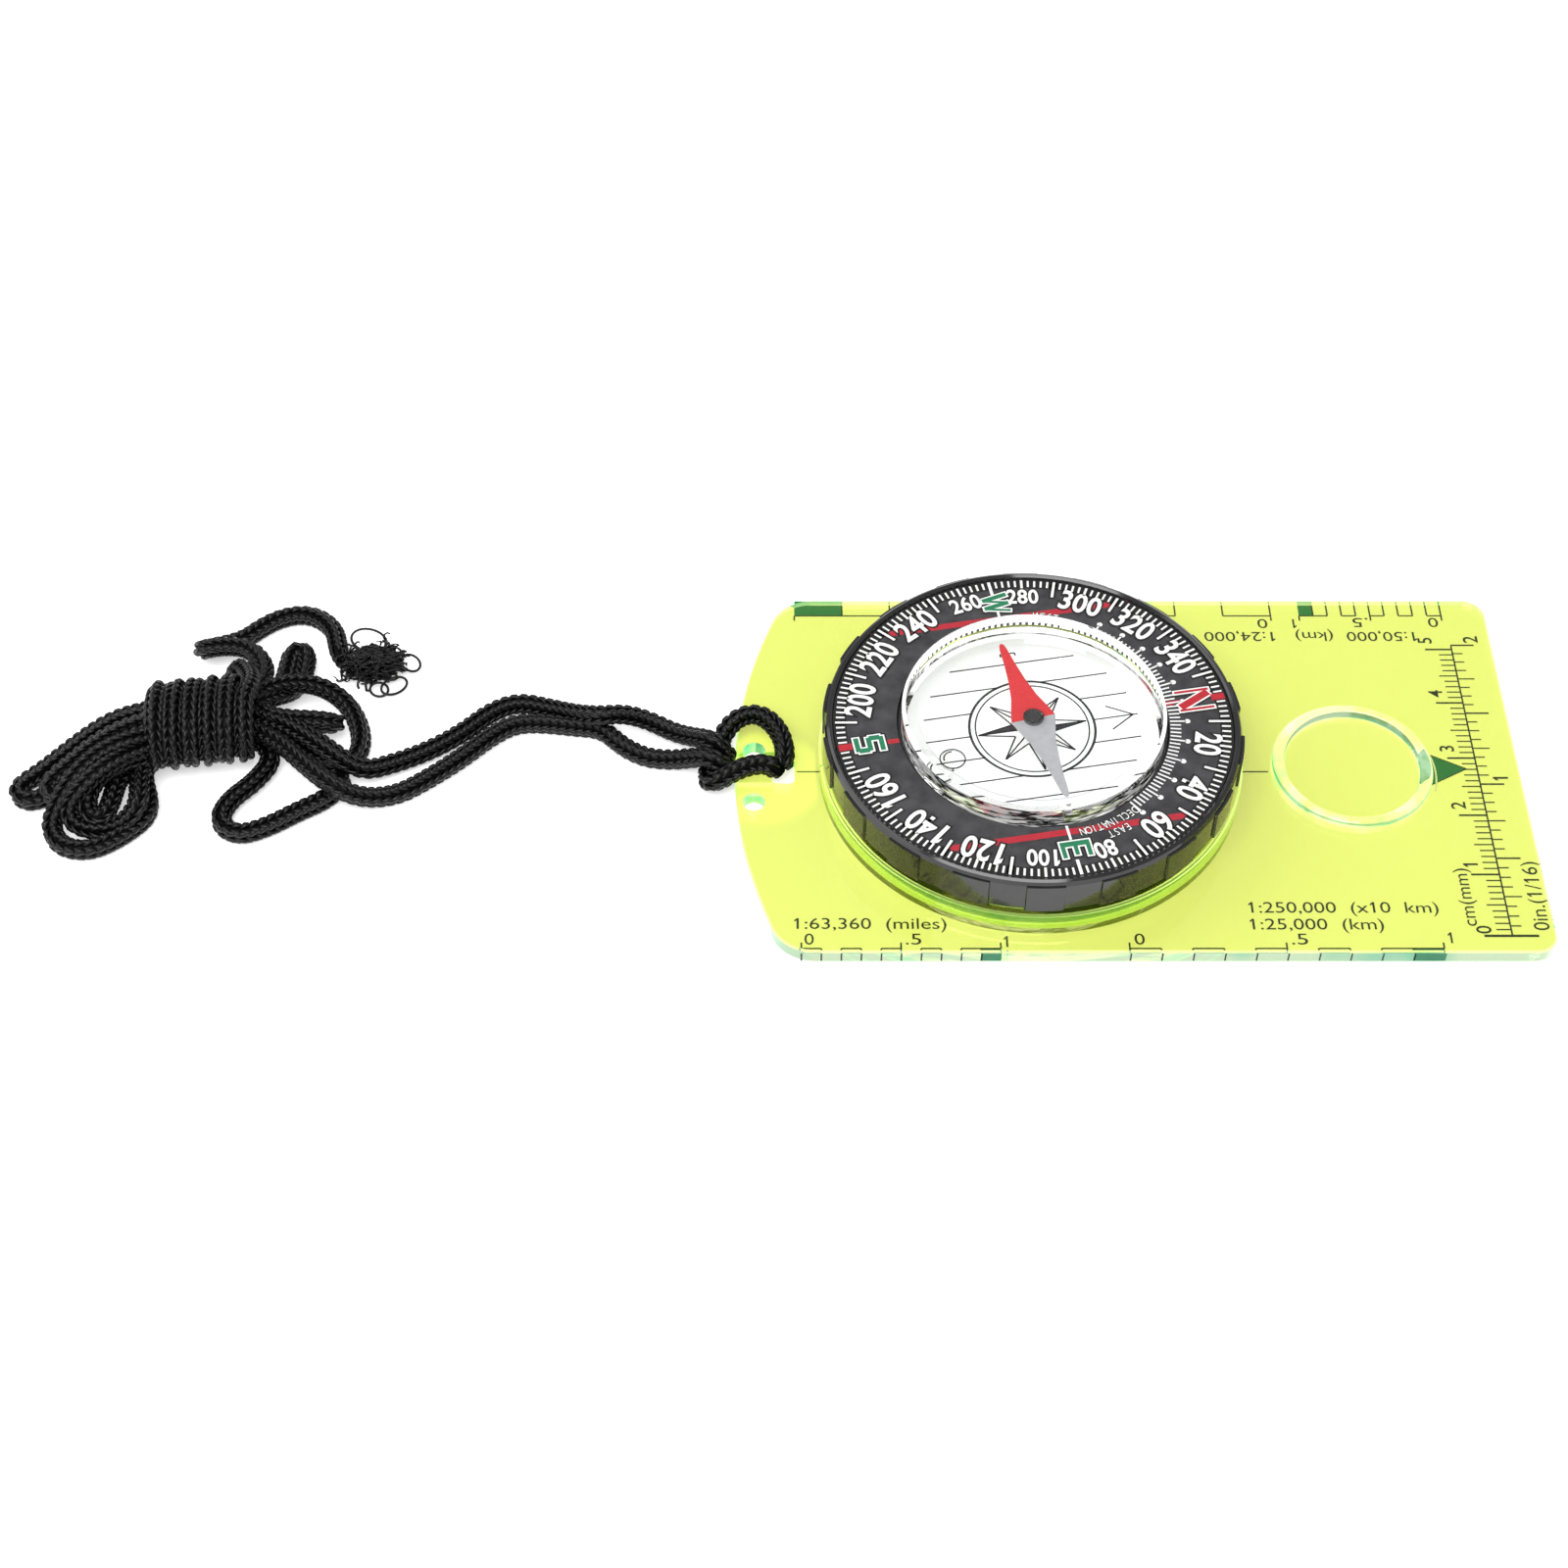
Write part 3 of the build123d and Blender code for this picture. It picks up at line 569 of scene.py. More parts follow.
def dial_letter(ink, letter, radius, degrees, width, tall, outline):
    """A cardinal letter with its top towards N, its strokes widened by an outline."""
    x, y = polar(radius, degrees)
    turn = math.radians(NORTH)
    up, right = (math.cos(turn), math.sin(turn)), (math.sin(turn), -math.cos(turn))
    for index, (start, end, thick) in enumerate(LETTER_STROKES[letter]):
        ends = []
        for across, along in (start, end):
            a, b = (across - 0.5) * width, (along - 0.5) * tall
            ends.append((x + right[0] * a + up[0] * b, y + right[1] * a + up[1] * b))
        (x0, y0), (x1, y1) = ends
        reach = outline / math.hypot(x1 - x0, y1 - y0)
        dx, dy = (x1 - x0) * reach, (y1 - y0) * reach
        ink.bar((x0 - dx, y0 - dy), (x1 + dx, y1 + dy), thick + 2 * outline, 0.003 * index)


def arc_text(layers, words, radius, middle, size, squeeze, weights, pitch):
    """Lettering bent round the dial, one letter at a time."""
    for index, letter in enumerate(words):
        degrees = middle + (index - (len(words) - 1) / 2) * math.degrees(pitch / radius)
        dial_text(layers, letter, radius, degrees, size, squeeze, weights)


def make_dial_prints():
    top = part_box("dial_ring")[1].z
    red = Print("dial_print_red", top + 0.02 * MM)
    black = Print("dial_print_black", top + 0.04 * MM)
    white = Print("dial_print_white", top + 0.06 * MM)
    red_top = Print("dial_letter_north", top + 0.08 * MM)
    green_top = Print("dial_letters", top + 0.08 * MM)
    edge = 26.0
    black.arc(AXIS.x / MM, 0, 25.4, 1.7)
    for degrees in range(0, 360, 2):
        if degrees % 90 == 0:
            continue
        if degrees % 20 == 10:
            radial(black, 22.9, edge, degrees, 0.85)
            radial(white, 23.1, edge, degrees, 0.36)
        elif degrees % 10 == 0:
            radial(white, 24.5, edge, degrees, 0.34)
        else:
            radial(white, 24.75, edge - 0.1, degrees, 0.28)
    # declination scale, from 50 west to 60 east
    for degrees in range(-50, 61, 2):
        ten = degrees % 10 == 0
        radial(white, 18.0, 20.1 if ten else 19.4, degrees, 0.24)
        if ten:
            white.disc(*polar(20.3, degrees), 0.38)
    # red bars through N and S, and the two chords beside them
    for degrees in (0, 180):
        radial(red_top, 24.2, 26.0, degrees, 1.1)
        radial(red, 17.95, 20.0, degrees, 0.75)
    for start, end in ((46.7, 133.3), (313.3, 226.7)):
        red.bar(polar(26.1, start), polar(26.1, end), 1.0)
    for degrees in (90, 270):
        radial(white, 18.0, 20.3, degrees, 0.34)
        radial(white, 23.6, edge, degrees, 0.42)
    numbers = (black, white)
    for degrees in range(20, 360, 20):
        if degrees == 180:
            continue
        small = degrees in (80, 100, 260, 280)
        size, squeeze = (2.5, 0.79) if small else (3.35, 0.79)
        place = degrees + 0.8 if degrees == 100 else degrees      # clear of the E
        dial_text(numbers, str(degrees), 22.75, place, size, squeeze, (0.085, 0.024), spacing=1.03)
    letters = (
        ("N", 0, red_top, 3.8, 4.7), ("E", 89.2, green_top, 2.6, 3.9),
        ("S", 180, green_top, 2.9, 4.1), ("W", 270, green_top, 3.6, 3.7),
    )
    for letter, degrees, ink, width, tall in letters:
        for layer, outline in ((black, 0.40), (white, 0.19), (ink, -0.03)):
            dial_letter(layer, letter, 21.9, degrees, width, tall, outline)
    arc_text(numbers, "EAST", 20.9, 72, 1.15, 0.7, (0.06, 0.0), 0.85)
    arc_text(numbers, "DECLINATION", 19.3, 73, 1.15, 0.7, (0.06, 0.0), 0.78)
    arc_text(numbers, "WEST", 19.3, 289, 1.15, 0.7, (0.06, 0.0), 0.85)
    white.done(ink_material("dial_white", (0.83, 0.83, 0.82)), "bezel")
    black.done(ink_material("dial_black", (0.004, 0.004, 0.004)), "bezel")
    red.done(ink_material("dial_red", (0.42, 0.016, 0.03)), "bezel")
    red_top.done(ink_material("letter_red", (0.44, 0.014, 0.025)), "bezel")
    green_top.done(ink_material("letter_green", (0.012, 0.18, 0.08)), "bezel")


def turned_point(along, across):
    """A point on the capsule's floor: along the N-S line, and across to its left."""
    turn = math.radians(NORTH)
    x = AXIS.x / MM + along * math.cos(turn) - across * math.sin(turn)
    y = along * math.sin(turn) + across * math.cos(turn)
    return (x, y)


def spoke(reach, degrees):
    """The point on the capsule's floor at a reach from its middle, turned from the N-S line."""
    turn = math.radians(degrees)
    return turned_point(reach * math.cos(turn), reach * math.sin(turn))


def make_floor_print():
    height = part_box("capsule_body")[0].z + CAPSULE_FLOOR + 0.03 * MM
    ink = Print("capsule_floor_print", height)
    fill = Print("capsule_floor_shading", height)
    thin, rose, root = 0.23, 8.3, 2.7
    for index in range(-3, 4):
        across = 3.9 * index
        reach = math.sqrt(14.6**2 - across**2) * 0.98
        gap = math.sqrt(rose**2 - across**2) if abs(across) < rose else 0
        for side in (-1, 1):
            if gap or side > 0:
                near_end = gap * side if gap else -reach
                ink.bar(turned_point(near_end, across), turned_point(reach * side, across), thin)
    for barb in (2.08, -2.08):
        ink.bar(turned_point(13.7, 0), turned_point(10.4, barb), thin)
    ink.arc(AXIS.x / MM, 0, rose, 0.36)
    ink.arc(AXIS.x / MM, 0, rose - 0.8, 0.22)
    plug = sum(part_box("fill_plug"), Vector()) / 2 / MM
    # painted shade: a dark ring round the fill plug's edge, and a dark arc inside it on one side
    ink.arc(plug.x, plug.y, 1.62, 0.26)
    ink.arc(plug.x, plug.y, 1.15, 0.22, 95, 200, 24)
    for index in range(8):
        angle = index * 45
        reach = 7.3 if index % 2 == 0 else 6.6
        tip, hub = spoke(reach, angle), turned_point(0, 0)
        sides = [spoke(root, angle - 22.5), spoke(root, angle + 22.5)]
        ink.bar(tip, sides[0], thin)
        ink.bar(tip, sides[1], thin)
        ink.bar(tip, hub, thin)
        if index % 4 == 0:
            fill.polygon([hub, tip, sides[0]] if index else [hub, sides[0], tip])
    for start, end in (((0.8, 13.6), (-1.2, 13.6)), ((0.8, 13.6), (0.8, 13.1)), ((-1.2, 13.6), (-1.2, 13.1))):
        ink.bar(turned_point(*start), turned_point(*end), thin)
    ink.done(ink_material("floor_ink", (0.01, 0.01, 0.012)), "bezel")
    fill.done(ink_material("floor_ink_fill", (0.02, 0.02, 0.025)), "bezel")


# ---------------------------------------------------------------- needle

def make_needle():
    """The blade: a thin waisted plate, painted red to the north and silver to the south."""
    low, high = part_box("needle_blade")
    angle = math.radians(NEEDLE_ANGLE)
    forward = Vector((math.cos(angle), math.sin(angle), 0))
    across = Vector((-math.sin(angle), math.cos(angle), 0))
    # one half of the blade: distances from its middle, and the half width at each
    outline = [
        (0.0, 3.0), (1.6, 2.55), (4.0, 1.75), (7.0, 1.15),
        (10.0, 0.75), (12.8, 0.5), (13.6, 0.32), (13.9, 0.0),
    ]
    middle = Vector((AXIS.x, AXIS.y, 0))
    for name, sign, colour, metal in (("needle_north", 1, (0.61, 0.030, 0.036), 0.0),
                                      ("needle_south", -1, (0.43, 0.43, 0.455), 0.2)):
        bm = bmesh.new()
        right = [(a * sign, w) for a, w in outline]
        left = [(a * sign, -w) for a, w in reversed(outline[:-1])]
        loop = right + left
        if sign < 0:
            loop.reverse()
        rings = []
        for z in (low.z, high.z):
            rings.append([bm.verts.new(middle + forward * a * MM + across * w * MM + Vector((0, 0, z)))
                          for a, w in loop])
        count = len(loop)
        for i in range(count):
            j = (i + 1) % count
            bm.faces.new((rings[0][j], rings[0][i], rings[1][i], rings[1][j]))
        bm.faces.new(rings[1])
        bm.faces.new(list(reversed(rings[0])))
        bmesh.ops.recalc_face_normals(bm, faces=bm.faces)
        mesh = bpy.data.meshes.new(name)
        bm.to_mesh(mesh)
        bm.free()
        piece = link(name, mesh)
        bevel = piece.modifiers.new("edge", "BEVEL")
        bevel.width, bevel.segments = 0.05 * MM, 2
        m = Material(name)
        m.link(m.ramp(m.noise(900, 4), (0.3, tuple(c * 0.85 for c in colour)), (0.7, colour)),
               m.bsdf.inputs["Base Color"])
        m.set(Metallic=metal, Specular_IOR_Level=0.25)
        m.link(m.span(m.noise(400, 3), 0.35, 0.5), m.bsdf.inputs["Roughness"])
        m.bump(m.noise(1800, 3), 0.08, 0.03 * MM)
        mesh.materials.append(m.mat)
        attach(piece, "needle")
        if sign > 0:
            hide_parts("needle_blade")


# ---------------------------------------------------------------- cord

HITCH = [
    (-46.2, -0.6, 2.4), (-45.6, 0.6, 3.3), (-46.0, 3.9, 3.4), (-47.8, 7.0, 3.5), (-50.2, 8.2, 3.5),
    (-52.8, 7.0, 3.3), (-54.6, 4.6, 1.8), (-55.6, 1.2, 1.3), (-56.4, -1.9, 1.4), (-55.0, -3.3, 2.4),
    (-52.2, -2.0, 3.6), (-49.4, -0.9, 3.6), (-47.4, -1.2, 3.5), (-46.4, -1.7, 2.4),
]
LEG_A = [
    (-53.2, 1.6, 1.3), (-54.0, 2.0, 3.0), (-55.9, 3.0, 4.1), (-58.2, 4.8, 2.4), (-60.9, 6.6, 1.3),
    (-64.3, 8.5, 1.6), (-67.6, 8.3, 3.2), (-70.8, 7.4, 3.8), (-74.0, 9.0, 2.3), (-77.6, 10.9, 1.3),
    (-82.2, 12.2, 1.3), (-86.0, 10.3, 1.3), (-89.4, 6.6, 1.3), (-93.6, 3.4, 1.3), (-98.4, 1.0, 1.3),
    (-102.4, -1.0, 2.0), (-106.2, 0.9, 3.8), (-110.2, 3.9, 4.3), (-114.2, 6.2, 4.6), (-119.0, 7.2, 4.8),
]
LEG_B = [
    (-53.2, -1.0, 1.3), (-54.0, -0.8, 3.0), (-56.0, -0.1, 4.1), (-58.4, 1.1, 2.4), (-61.2, 1.7, 1.3),
    (-64.6, 2.1, 1.3), (-67.9, 4.2, 1.3), (-70.6, 7.3, 1.3), (-74.4, 7.7, 1.3), (-78.4, 8.3, 1.3),
    (-82.2, 8.3, 1.3), (-85.4, 6.1, 1.3), (-89.0, 2.2, 1.3), (-93.2, -1.5, 1.3), (-97.4, -4.6, 1.3),
    (-102.2, -5.6, 2.0), (-106.4, -4.4, 3.9), (-110.0, -1.0, 4.1), (-113.4, 2.6, 4.2), (-118.0, 4.8, 4.6),
]
BIG_LOOP = [
    (-118.5, 9.6, 5.2), (-114.2, 12.6, 4.8), (-109.4, 13.2, 4.0), (-105.4, 11.6, 2.0), (-103.2, 7.2, 1.3),
    (-103.0, 2.8, 1.3), (-105.2, 0.4, 1.3), (-108.8, 1.8, 1.4), (-112.6, 4.6, 1.9), (-117.0, 6.4, 2.6),
]
SMALL_LOOP = [
    (-117.6, 9.0, 4.4), (-115.3, 6.5, 4.8), (-112.3, 6.3, 4.4), (-109.2, 6.4, 4.2), (-107.1, 6.4, 3.8),
    (-106.2, 7.0, 2.8), (-107.5, 8.0, 1.6), (-110.0, 8.3, 1.4), (-113.2, 8.5, 1.5), (-116.4, 8.2, 2.2),
    (-117.0, 7.4, 3.2),
]
LOW_LOOP = [
    (-117.0, 5.2, 2.4), (-114.4, 1.8, 1.4), (-116.4, -2.2, 1.3), (-119.6, -5.6, 1.3), (-120.6, -9.2, 1.3),
    (-117.6, -11.4, 1.3), (-113.8, -9.8, 1.3), (-110.2, -7.2, 1.3), (-106.8, -5.2, 1.3),
    (-105.0, -2.6, 1.3), (-105.0, -0.6, 1.3),
]
HIGH_LOOP = [
    (-107.1, 19.1, 1.9), (-108.0, 22.2, 1.5), (-108.6, 25.1, 1.4), (-110.6, 27.7, 1.4), (-113.5, 28.9, 1.4),
    (-116.6, 28.1, 1.4), (-119.1, 26.2, 1.4), (-121.1, 24.0, 1.4), (-124.0, 22.9, 1.4), (-126.1, 22.3, 1.4),
    (-126.6, 20.7, 2.6), (-125.4, 20.0, 3.8), (-122.9, 20.2, 4.1), (-120.1, 19.9, 4.1), (-118.1, 18.1, 4.1),
    (-116.8, 15.3, 4.3), (-116.9, 12.0, 5.0), (-118.4, 9.6, 6.0),
]
# folds of the hank beyond the binding, left of it
BACK_OUTER = [
    (-124.0, 7.6, 6.6), (-131.1, 5.7, 6.8), (-135.4, 5.0, 5.8), (-138.6, 3.2, 4.8), (-141.7, 1.0, 3.6),
    (-144.7, -1.2, 2.4), (-147.1, -2.5, 1.5), (-147.9, -4.0, 1.4), (-146.7, -5.5, 1.4), (-144.7, -5.3, 1.4),
    (-142.5, -3.2, 1.5), (-140.2, -0.4, 2.0), (-136.8, 2.6, 2.8), (-132.6, 4.3, 3.2), (-124.0, 4.6, 3.0),
]
BACK_INNER = [
    (-124.0, 6.0, 6.8), (-130.2, 3.3, 7.6), (-134.3, 1.7, 7.2), (-137.7, 0.0, 6.0), (-140.3, -2.0, 4.8),
    (-142.6, -3.6, 3.8), (-143.4, -5.2, 3.2), (-142.0, -6.2, 2.8), (-139.9, -4.4, 2.8), (-137.3, -1.4, 3.0),
    (-133.5, 1.5, 3.4), (-124.0, 6.4, 3.4),
]
FRONT_OUTER = [
    (-124.0, 5.6, 7.0), (-128.9, 1.6, 6.6), (-132.9, -1.1, 8.4), (-136.1, -2.8, 7.8), (-138.8, -5.2, 6.6),
    (-140.5, -7.2, 5.0), (-141.8, -9.1, 3.2), (-142.2, -10.7, 1.8), (-141.1, -12.7, 1.4),
    (-139.0, -13.8, 1.4), (-136.4, -13.8, 1.4), (-133.9, -12.3, 1.4), (-131.8, -10.4, 1.4),
    (-130.2, -8.4, 1.4), (-129.9, -6.1, 1.4), (-130.8, -3.6, 1.4), (-131.4, -1.5, 1.6), (-131.2, 0.8, 2.0),
    (-129.4, 2.3, 2.6), (-124.0, 2.8, 3.0),
]
FRONT_MIDDLE = [
    (-124.0, 4.6, 7.4), (-129.7, 0.2, 6.2), (-133.3, -3.0, 7.4), (-136.2, -5.7, 7.2), (-138.4, -7.2, 5.6),
    (-139.8, -8.3, 4.0), (-139.7, -9.7, 2.8), (-138.3, -10.6, 2.0), (-135.9, -11.1, 1.8),
    (-133.5, -10.4, 1.8), (-131.8, -9.4, 2.6), (-130.7, -7.9, 3.8), (-130.9, -5.5, 4.0),
    (-131.3, -3.0, 4.0), (-130.7, -0.6, 4.2), (-128.6, 0.8, 4.6), (-124.0, 3.4, 4.6),
]
FRONT_INNER = [
    (-124.0, 3.8, 6.6), (-130.1, -0.5, 5.0), (-133.6, -3.2, 6.6), (-136.0, -4.6, 5.6), (-137.5, -6.2, 4.4),
    (-137.7, -8.4, 3.2), (-136.6, -9.7, 2.6), (-135.1, -9.0, 2.6), (-134.6, -6.8, 2.8), (-134.4, -4.6, 3.0),
    (-133.8, -2.6, 3.4), (-132.1, -0.6, 3.8), (-129.7, 0.7, 4.4), (-124.0, 2.6, 4.8),
]
TOP_LOOP = [
    (-118.0, 8.0, 5.4), (-115.2, 10.8, 4.0), (-113.0, 13.0, 2.6), (-112.3, 15.6, 1.5), (-112.1, 18.2, 1.4),
    (-112.1, 20.6, 1.5), (-113.2, 21.9, 1.8), (-114.3, 20.6, 1.6), (-114.4, 18.2, 1.5), (-114.7, 15.4, 1.5),
    (-115.9, 12.6, 1.8), (-118.4, 10.0, 3.4),
]
KNOT = [
    (-120.9, 13.1, 4.4), (-121.2, 15.5, 3.6), (-120.2, 15.9, 4.4), (-118.7, 13.4, 5.8), (-117.4, 9.8, 7.9),
]
WRAP_X, WRAP_Y, WRAP_Z = -124.3, 5.2, 5.15
WRAP_TURN, WRAP_PITCH, WRAP_TURNS = 8.0, 2.35, 5.5
WRAP_W, WRAP_H = 5.5, 3.95


def wrap_points():
    """The binding: a small knot, then an elliptical coil round the neck of the hank."""
    turn = math.radians(WRAP_TURN)
    steps = 14
    points = list(KNOT)
    for index in range(int(WRAP_TURNS * steps) + 1):
        angle = 2 * math.pi * index / steps + math.pi / 2
        along = (WRAP_TURNS / 2 - index / steps) * WRAP_PITCH
        across, up = WRAP_W * math.cos(angle), WRAP_H * math.sin(angle)
        x = WRAP_X + along * math.cos(turn) - across * math.sin(turn)
        y = WRAP_Y + along * math.sin(turn) + across * math.cos(turn)
        points.append((x, y, WRAP_Z + up))
    return points


def smooth_line(name, points, resolution=10):
    """The points of the smooth spline that a route controls, in metres."""
    curve = bpy.data.curves.new(name, "CURVE")
    curve.dimensions = "3D"
    curve.resolution_u = resolution
    spline = curve.splines.new("NURBS")
    spline.points.add(len(points) - 1)
    for point, place in zip(spline.points, points):
        point.co = (*(value * MM for value in place), 1.0)
    spline.order_u = 3
    spline.use_endpoint_u = True
    holder = bpy.data.objects.new(name, curve)
    mesh = bpy.data.meshes.new_from_object(holder)
    line = np.array([vertex.co for vertex in mesh.vertices])
    bpy.data.meshes.remove(mesh)
    bpy.data.curves.remove(curve)
    return line


def even(line, step):
    """The line's points at even steps, and its length."""
    along = np.concatenate([[0], np.cumsum(np.linalg.norm(np.diff(line, axis=0), axis=1))])
    count = max(2, int(round(along[-1] / step)) + 1)
    at = np.linspace(0, along[-1], count)
    return np.stack([np.interp(at, along, line[:, k]) for k in range(3)], axis=1), along[-1]


def frames(line):
    """Two directions across the line at each point, carried along it without twist."""
    ahead = np.gradient(line, axis=0)
    ahead /= np.linalg.norm(ahead, axis=1)[:, None]
    side = np.cross(ahead[0], (0, 0, 1.0))
    if np.linalg.norm(side) < 1e-6:
        side = np.array((1.0, 0, 0))
    side /= np.linalg.norm(side)
    sides = [side]
    for direction in ahead[1:]:
        side = side - direction * np.dot(side, direction)
        side /= np.linalg.norm(side)
        sides.append(side)
    sides = np.array(sides)
    return sides, np.cross(ahead, sides)


def tube(bm, line, radius, sides):
    """A closed tube along a line, as faces of bm."""
    side, up = frames(line)
    rings = []
    for i, place in enumerate(line):
        ring = []
        for k in range(sides):
            angle = 2 * math.pi * k / sides
            offset = side[i] * math.cos(angle) + up[i] * math.sin(angle)
            ring.append(bm.verts.new(place + offset * radius))
        rings.append(ring)
    for first, second in zip(rings, rings[1:]):
        for k in range(sides):
            j = (k + 1) % sides
            bm.faces.new((first[k], first[j], second[j], second[k]))
    bm.faces.new(list(reversed(rings[0])))
    bm.faces.new(rings[-1])


STITCH = 1.2                 # length of a knitted stitch along the cord
WALES = 5                    # columns of stitches round the cord
LEG_RINGS = 4
LEG_SIDES = 5
CORE_R = 0.93 * MM
FIBRES = 460                 # in the frayed end


def stitch_legs(line, side, up, length):
    """The two legs of each V stitch: ring centres, outward directions and half widths."""
    along = np.linspace(0, length, len(line))
    share = np.linspace(0, 1, LEG_RINGS)
    lean = np.array((0.06, 0.34, 0.50, 0.54)) * math.pi * 2 / WALES
    reach = np.array((0.84, 1.11, 1.14, 0.87)) * MM
    starts = []
    for wale in range(WALES):
        first = (wale % 2) * STITCH / 2
        for row in range(int(length / MM / STITCH) - 1):
            for hand in (-1, 1):
                starts.append((wale * 2 * math.pi / WALES, (first + row * STITCH) * MM, hand))
    starts = np.array(starts)
    place = starts[:, 1:2] + share * STITCH * 1.45 * MM
    angle = starts[:, 0:1] + starts[:, 2:3] * lean
    centre, across, above = [np.stack([np.interp(place, along, axis[:, k]) for k in range(3)], axis=-1)
                             for axis in (line, side, up)]
    out = across * np.cos(angle)[..., None] + above * np.sin(angle)[..., None]
    return centre + out * reach[:, None], out


def stitch_mesh(centres, out):
    """Vertices and faces of the legs, each a short flattened tube closed at both ends."""
    half = np.array((0.18, 0.37, 0.39, 0.20)) * MM
    ahead = np.gradient(centres, axis=1)
    ahead /= np.linalg.norm(ahead, axis=-1)[..., None]
    sideways = np.cross(ahead, out)
    turn = np.arange(LEG_SIDES) * 2 * math.pi / LEG_SIDES
    ring = (out[:, :, None] * np.cos(turn)[:, None] * 0.85 + sideways[:, :, None] * np.sin(turn)[:, None])
    points = centres[:, :, None] + ring * half[None, :, None, None]
    faces = []
    for leg in range(len(centres)):
        base = leg * LEG_RINGS * LEG_SIDES
        for level in range(LEG_RINGS - 1):
            for k in range(LEG_SIDES):
                a, b = base + level * LEG_SIDES + k, base + level * LEG_SIDES + (k + 1) % LEG_SIDES
                faces.append((b, a, a + LEG_SIDES, b + LEG_SIDES))
        faces.append(tuple(base + k for k in range(LEG_SIDES)))
        faces.append(tuple(base + (LEG_RINGS - 1) * LEG_SIDES + LEG_SIDES - 1 - k for k in range(LEG_SIDES)))
    return points.reshape(-1, 3), faces


def knitted_cord(name, points, materials):
    """A knitted cord: columns of V stitches round a dark core, darker and duller than the yarn for painted
    shade in the gaps between stitches, pressed flat where they touch the table.
    """
    line, length = even(smooth_line(name, points), 0.3 * MM)
    side, up = frames(line)
    vertices, faces = stitch_mesh(*stitch_legs(line, side, up, length))
    bm = bmesh.new()
    tube(bm, line, CORE_R, sides=8)
    core = bpy.data.meshes.new(name)
    bm.to_mesh(core)
    bm.free()
    first, inside = len(core.vertices), len(core.polygons)
    vertices = np.concatenate([[vertex.co for vertex in core.vertices], vertices])
    vertices[:, 2] = np.maximum(vertices[:, 2], 0.03 * MM)
    legs = [tuple(first + k for k in face) for face in faces]
    faces = [tuple(face.vertices) for face in core.polygons] + legs
    core.clear_geometry()
    core.from_pydata(vertices.tolist(), [], faces)
    core.shade_smooth()
    for material in materials:
        core.materials.append(material)
    for face in core.polygons[:inside]:
        face.material_index = 1
    return link(name, core), line, length


def make_tassel(material):
    """The frayed ends: a fan of fine fibres with four pulled loops."""
    rng = np.random.default_rng(7)
    bm = bmesh.new()
    root = np.array((-107.6, 18.9, 1.9))
    for _ in range(FIBRES):
        along = rng.uniform(0, 1) ** 0.9
        reach = 1.8 + 2.2 * along
        place = root + np.array((6.7 * along, rng.normal(0, 0.45) * reach, rng.uniform(-1.3, 1.3)))
        heading = np.array((1.0, rng.normal(0, 0.7), rng.normal(0, 0.3)))
        points = []
        for _ in range(9):
            heading = heading + rng.normal(0, 0.42, 3) + np.array((0.12, (root[1] - place[1]) * 0.10, 0))
            heading /= np.linalg.norm(heading)
            place = place + heading * 0.42
            points.append(place)
        points = np.array(points)
        points[:, 2] = np.clip(points[:, 2], 0.2, 3.3)
        tube(bm, points * MM, rng.uniform(0.10, 0.19) * MM, sides=4)
    loops = (
        (-103.9, 24.2, 2.7, 1.7, -0.45), (-97.7, 19.9, 1.7, 1.0, -0.75),
        (-99.6, 15.6, 1.9, 1.1, 0.6), (-101.6, 14.9, 1.3, 0.9, -0.3),
    )
    for centre_x, centre_y, wide, tall, tilt in loops:
        steps = 28
        around = np.linspace(0, 2 * math.pi, steps)
        a, b = wide * np.cos(around), tall * np.sin(around)
        x = centre_x + a * math.cos(tilt) - b * math.sin(tilt)
        y = centre_y + a * math.sin(tilt) + b * math.cos(tilt)
        line = np.stack([x, y, 0.9 + 0.4 * np.sin(around)], axis=1)
        tube(bm, line * MM, 0.19 * MM, sides=5)
    mesh = bpy.data.meshes.new("frayed_end")
    for face in bm.faces:
        face.smooth = True
    bm.to_mesh(mesh)
    bm.free()
    piece = link("frayed_end", mesh)
    mesh.materials.append(material)
    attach(piece, "plate")
    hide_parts("lanyard_tassel")
    return piece


def make_cords():
    material = cord_material()
    # the core is darker and duller than the yarn: painted shade in the gaps between stitches
    core = cord_material("cord_core", 0.001, 0.002, 0.05)
    tassel = make_tassel(material)
    route_a = LEG_A + BACK_OUTER + BIG_LOOP + FRONT_OUTER + list(reversed(HIGH_LOOP))
    route_b = LEG_B + BACK_INNER + SMALL_LOOP + FRONT_MIDDLE + TOP_LOOP + FRONT_INNER + LOW_LOOP
    routes = (
        ("cord_hitch", HITCH, "object", ("lanyard_hitch", "lanyard_bight"), []),
        ("cord_a", route_a, "knot",
         ("lanyard_leg_a", "lanyard_big_loop", "lanyard_high_loop", "lanyard_hank"), [tassel]),
        ("cord_b", route_b, "knot", ("lanyard_leg_b", "lanyard_small_loop", "lanyard_low_loop"), []),
        ("cord_binding", wrap_points(), "knot", ("lanyard_wrap",), []),
    )
    for name, route, far_end, nodes, pieces in routes:
        piece, line, length = knitted_cord(name, route, (material, core))
        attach(piece, "plate")
        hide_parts(*nodes)
        print(name, "length", round(length / MM, 1), "faces", len(piece.data.polygons))


# ---------------------------------------------------------------- CAD nodes that stay

def dress(node, *materials):
    """Give a CAD node new materials, its faces all in the first."""
    piece = NODES[node]
    piece.data.materials.clear()
    for material in materials:
        piece.data.materials.append(material)
    for face in piece.data.polygons:
        face.material_index = 0
    return piece


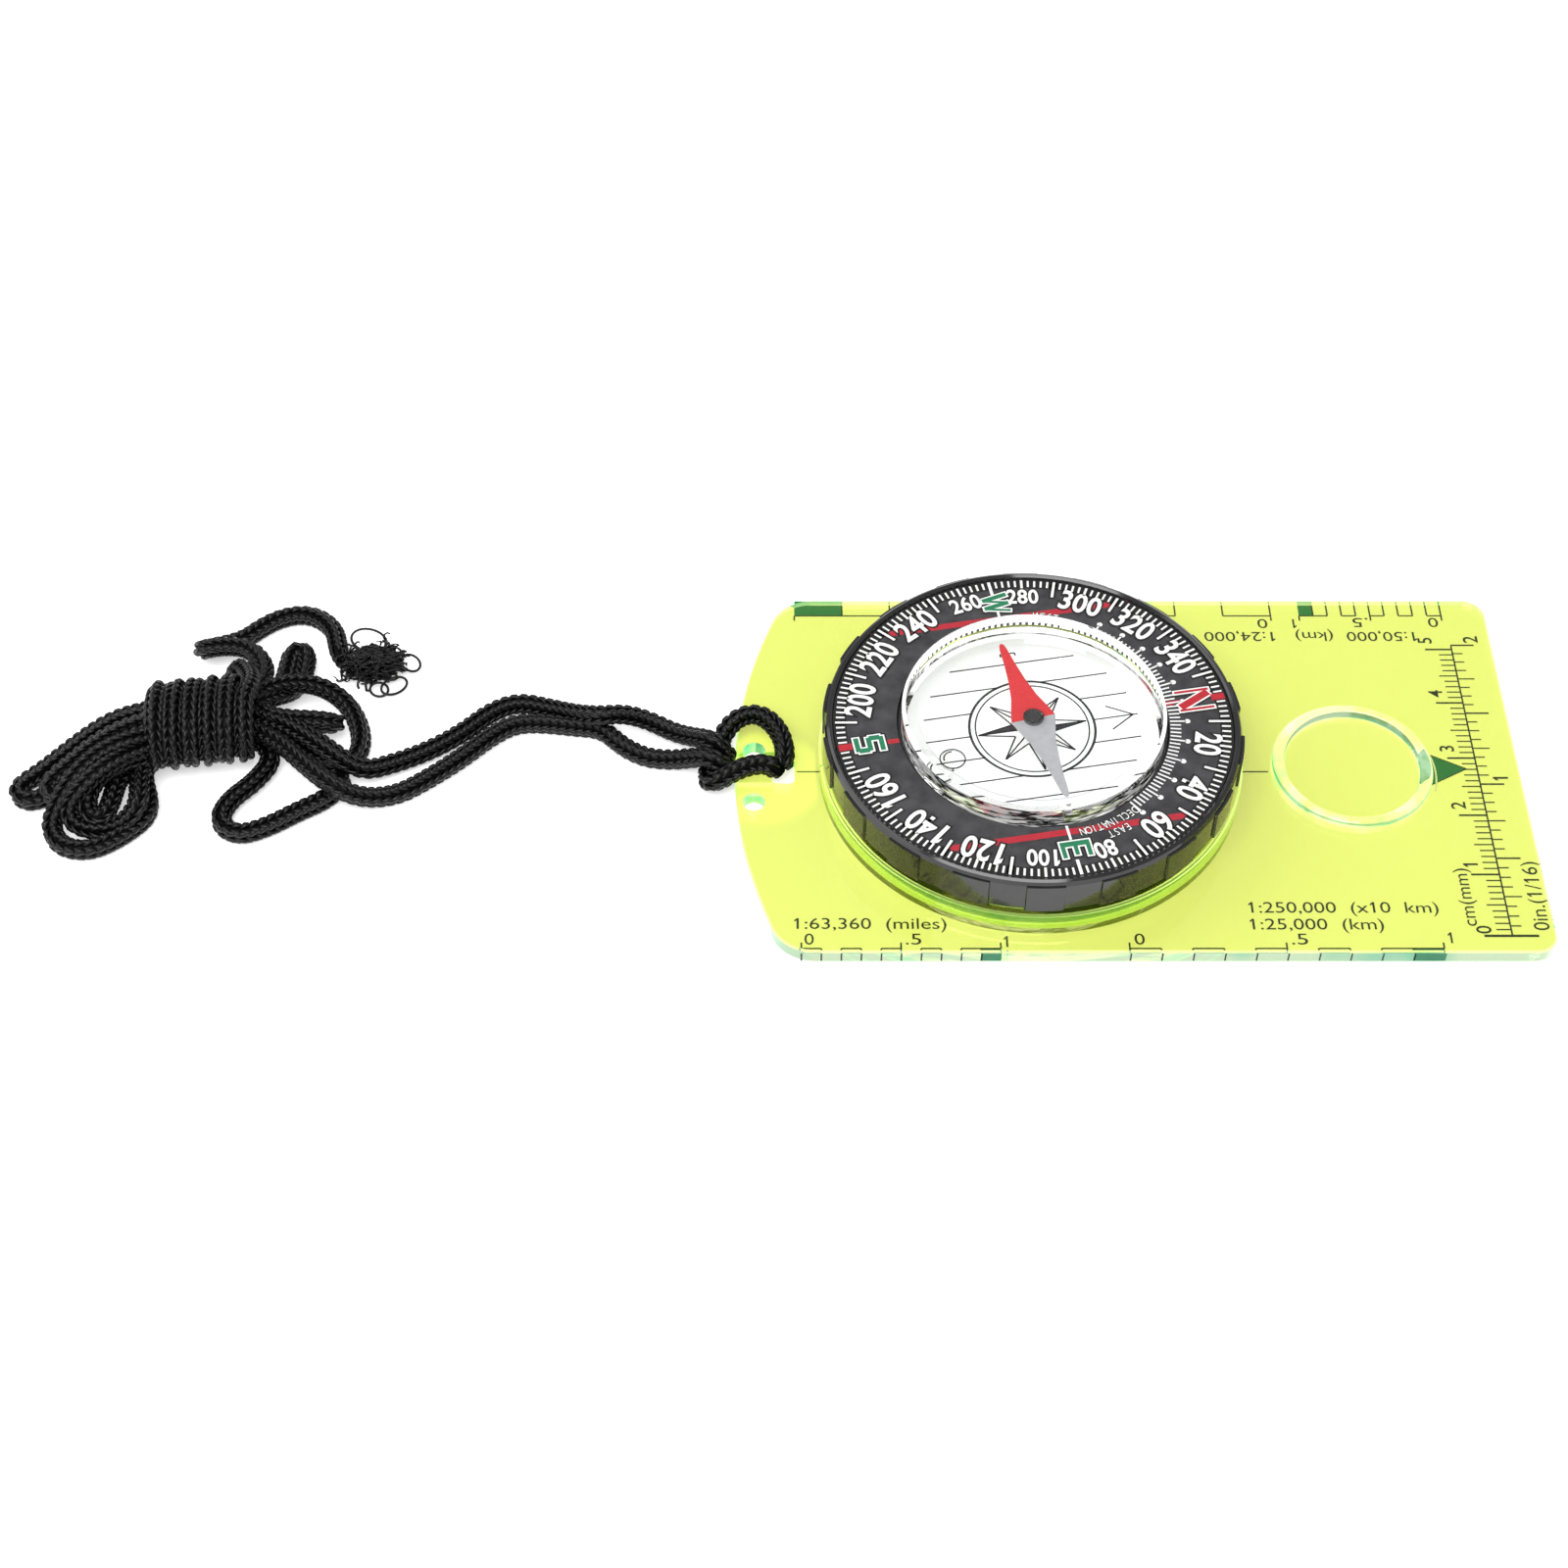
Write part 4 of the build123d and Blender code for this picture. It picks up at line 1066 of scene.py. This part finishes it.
def dress_capsule(node, clear, wetted):
    """Clear outside; the faces that the liquid or the joint between body and window wets stay unseen."""
    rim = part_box("capsule_window")[0].z
    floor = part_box("capsule_body")[0].z + CAPSULE_FLOOR
    slack, spigot = 0.05 * MM, 0.3 * MM
    for face in dress(node, clear, wetted).data.polygons:
        middle = face.center
        radius = math.hypot(middle.x - AXIS.x, middle.y - AXIS.y)
        hollow = radius < CAPSULE_INNER + slack and floor - slack < middle.z < rim + slack
        joint = abs(middle.z - rim - spigot) < slack
        joint_wall = abs(radius - CAPSULE_INNER) < 2 * slack and middle.z < rim + spigot + slack
        if hollow or joint or joint_wall:
            face.material_index = 1


def dress_nodes():
    dress("baseplate", plate_material())
    clear = capsule_material()
    wetted = wetted_material()
    dress_capsule("capsule_body", clear, wetted)
    dress_capsule("capsule_window", clear, wetted)
    bezel = plastic_material("bezel_plastic", (0.007, 0.007, 0.0075), (0.06, 0.14),
                             height=0.03, spread=0.12, gloss=0.6)
    dress("bezel_ring", bezel)
    dial = plastic_material("dial_print", (0.045, 0.044, 0.047), (0.5, 0.7), grain=900, height=0.2, gloss=0.2)
    dress("dial_ring", dial)
    dress("capsule_seal_ring", plastic_material("seal_rubber", (0.01, 0.01, 0.011), (0.35, 0.5)))
    dress("bezel_glide_ring", plastic_material("nylon", (0.7, 0.7, 0.62), (0.4, 0.6)))
    plug = Material("plug_plastic")
    plug.set(Base_Color=(0.9, 0.92, 0.91, 1), Transmission_Weight=1.0, IOR=1.46, Roughness=0.05)
    plug.bump(plug.noise(900, 3), 0.3, 0.1 * MM)
    plug.lets_lamps_through((0.95, 0.95, 0.95, 1))
    dress("fill_plug", plug.mat)
    dress("pivot_pin", steel_material())
    dress("needle_hub", plastic_material("hub_plastic", (0.02, 0.02, 0.02), (0.15, 0.35), coat=0.3))
    jewel = Material("jewel")
    jewel.set(Base_Color=(0.7, 0.1, 0.18, 1), Roughness=0.05)
    jewel.link(jewel.ramp(jewel.noise(1500, 3), (0.3, (0.5, 0.05, 0.1)), (0.7, (0.75, 0.14, 0.22))),
               jewel.bsdf.inputs["Base Color"])
    dress("jewel_bearing", jewel.mat)


make_camera()
make_cords()
make_floor()
make_light()
dress_nodes()
make_plate_prints()
make_dial_prints()
make_floor_print()
make_needle()
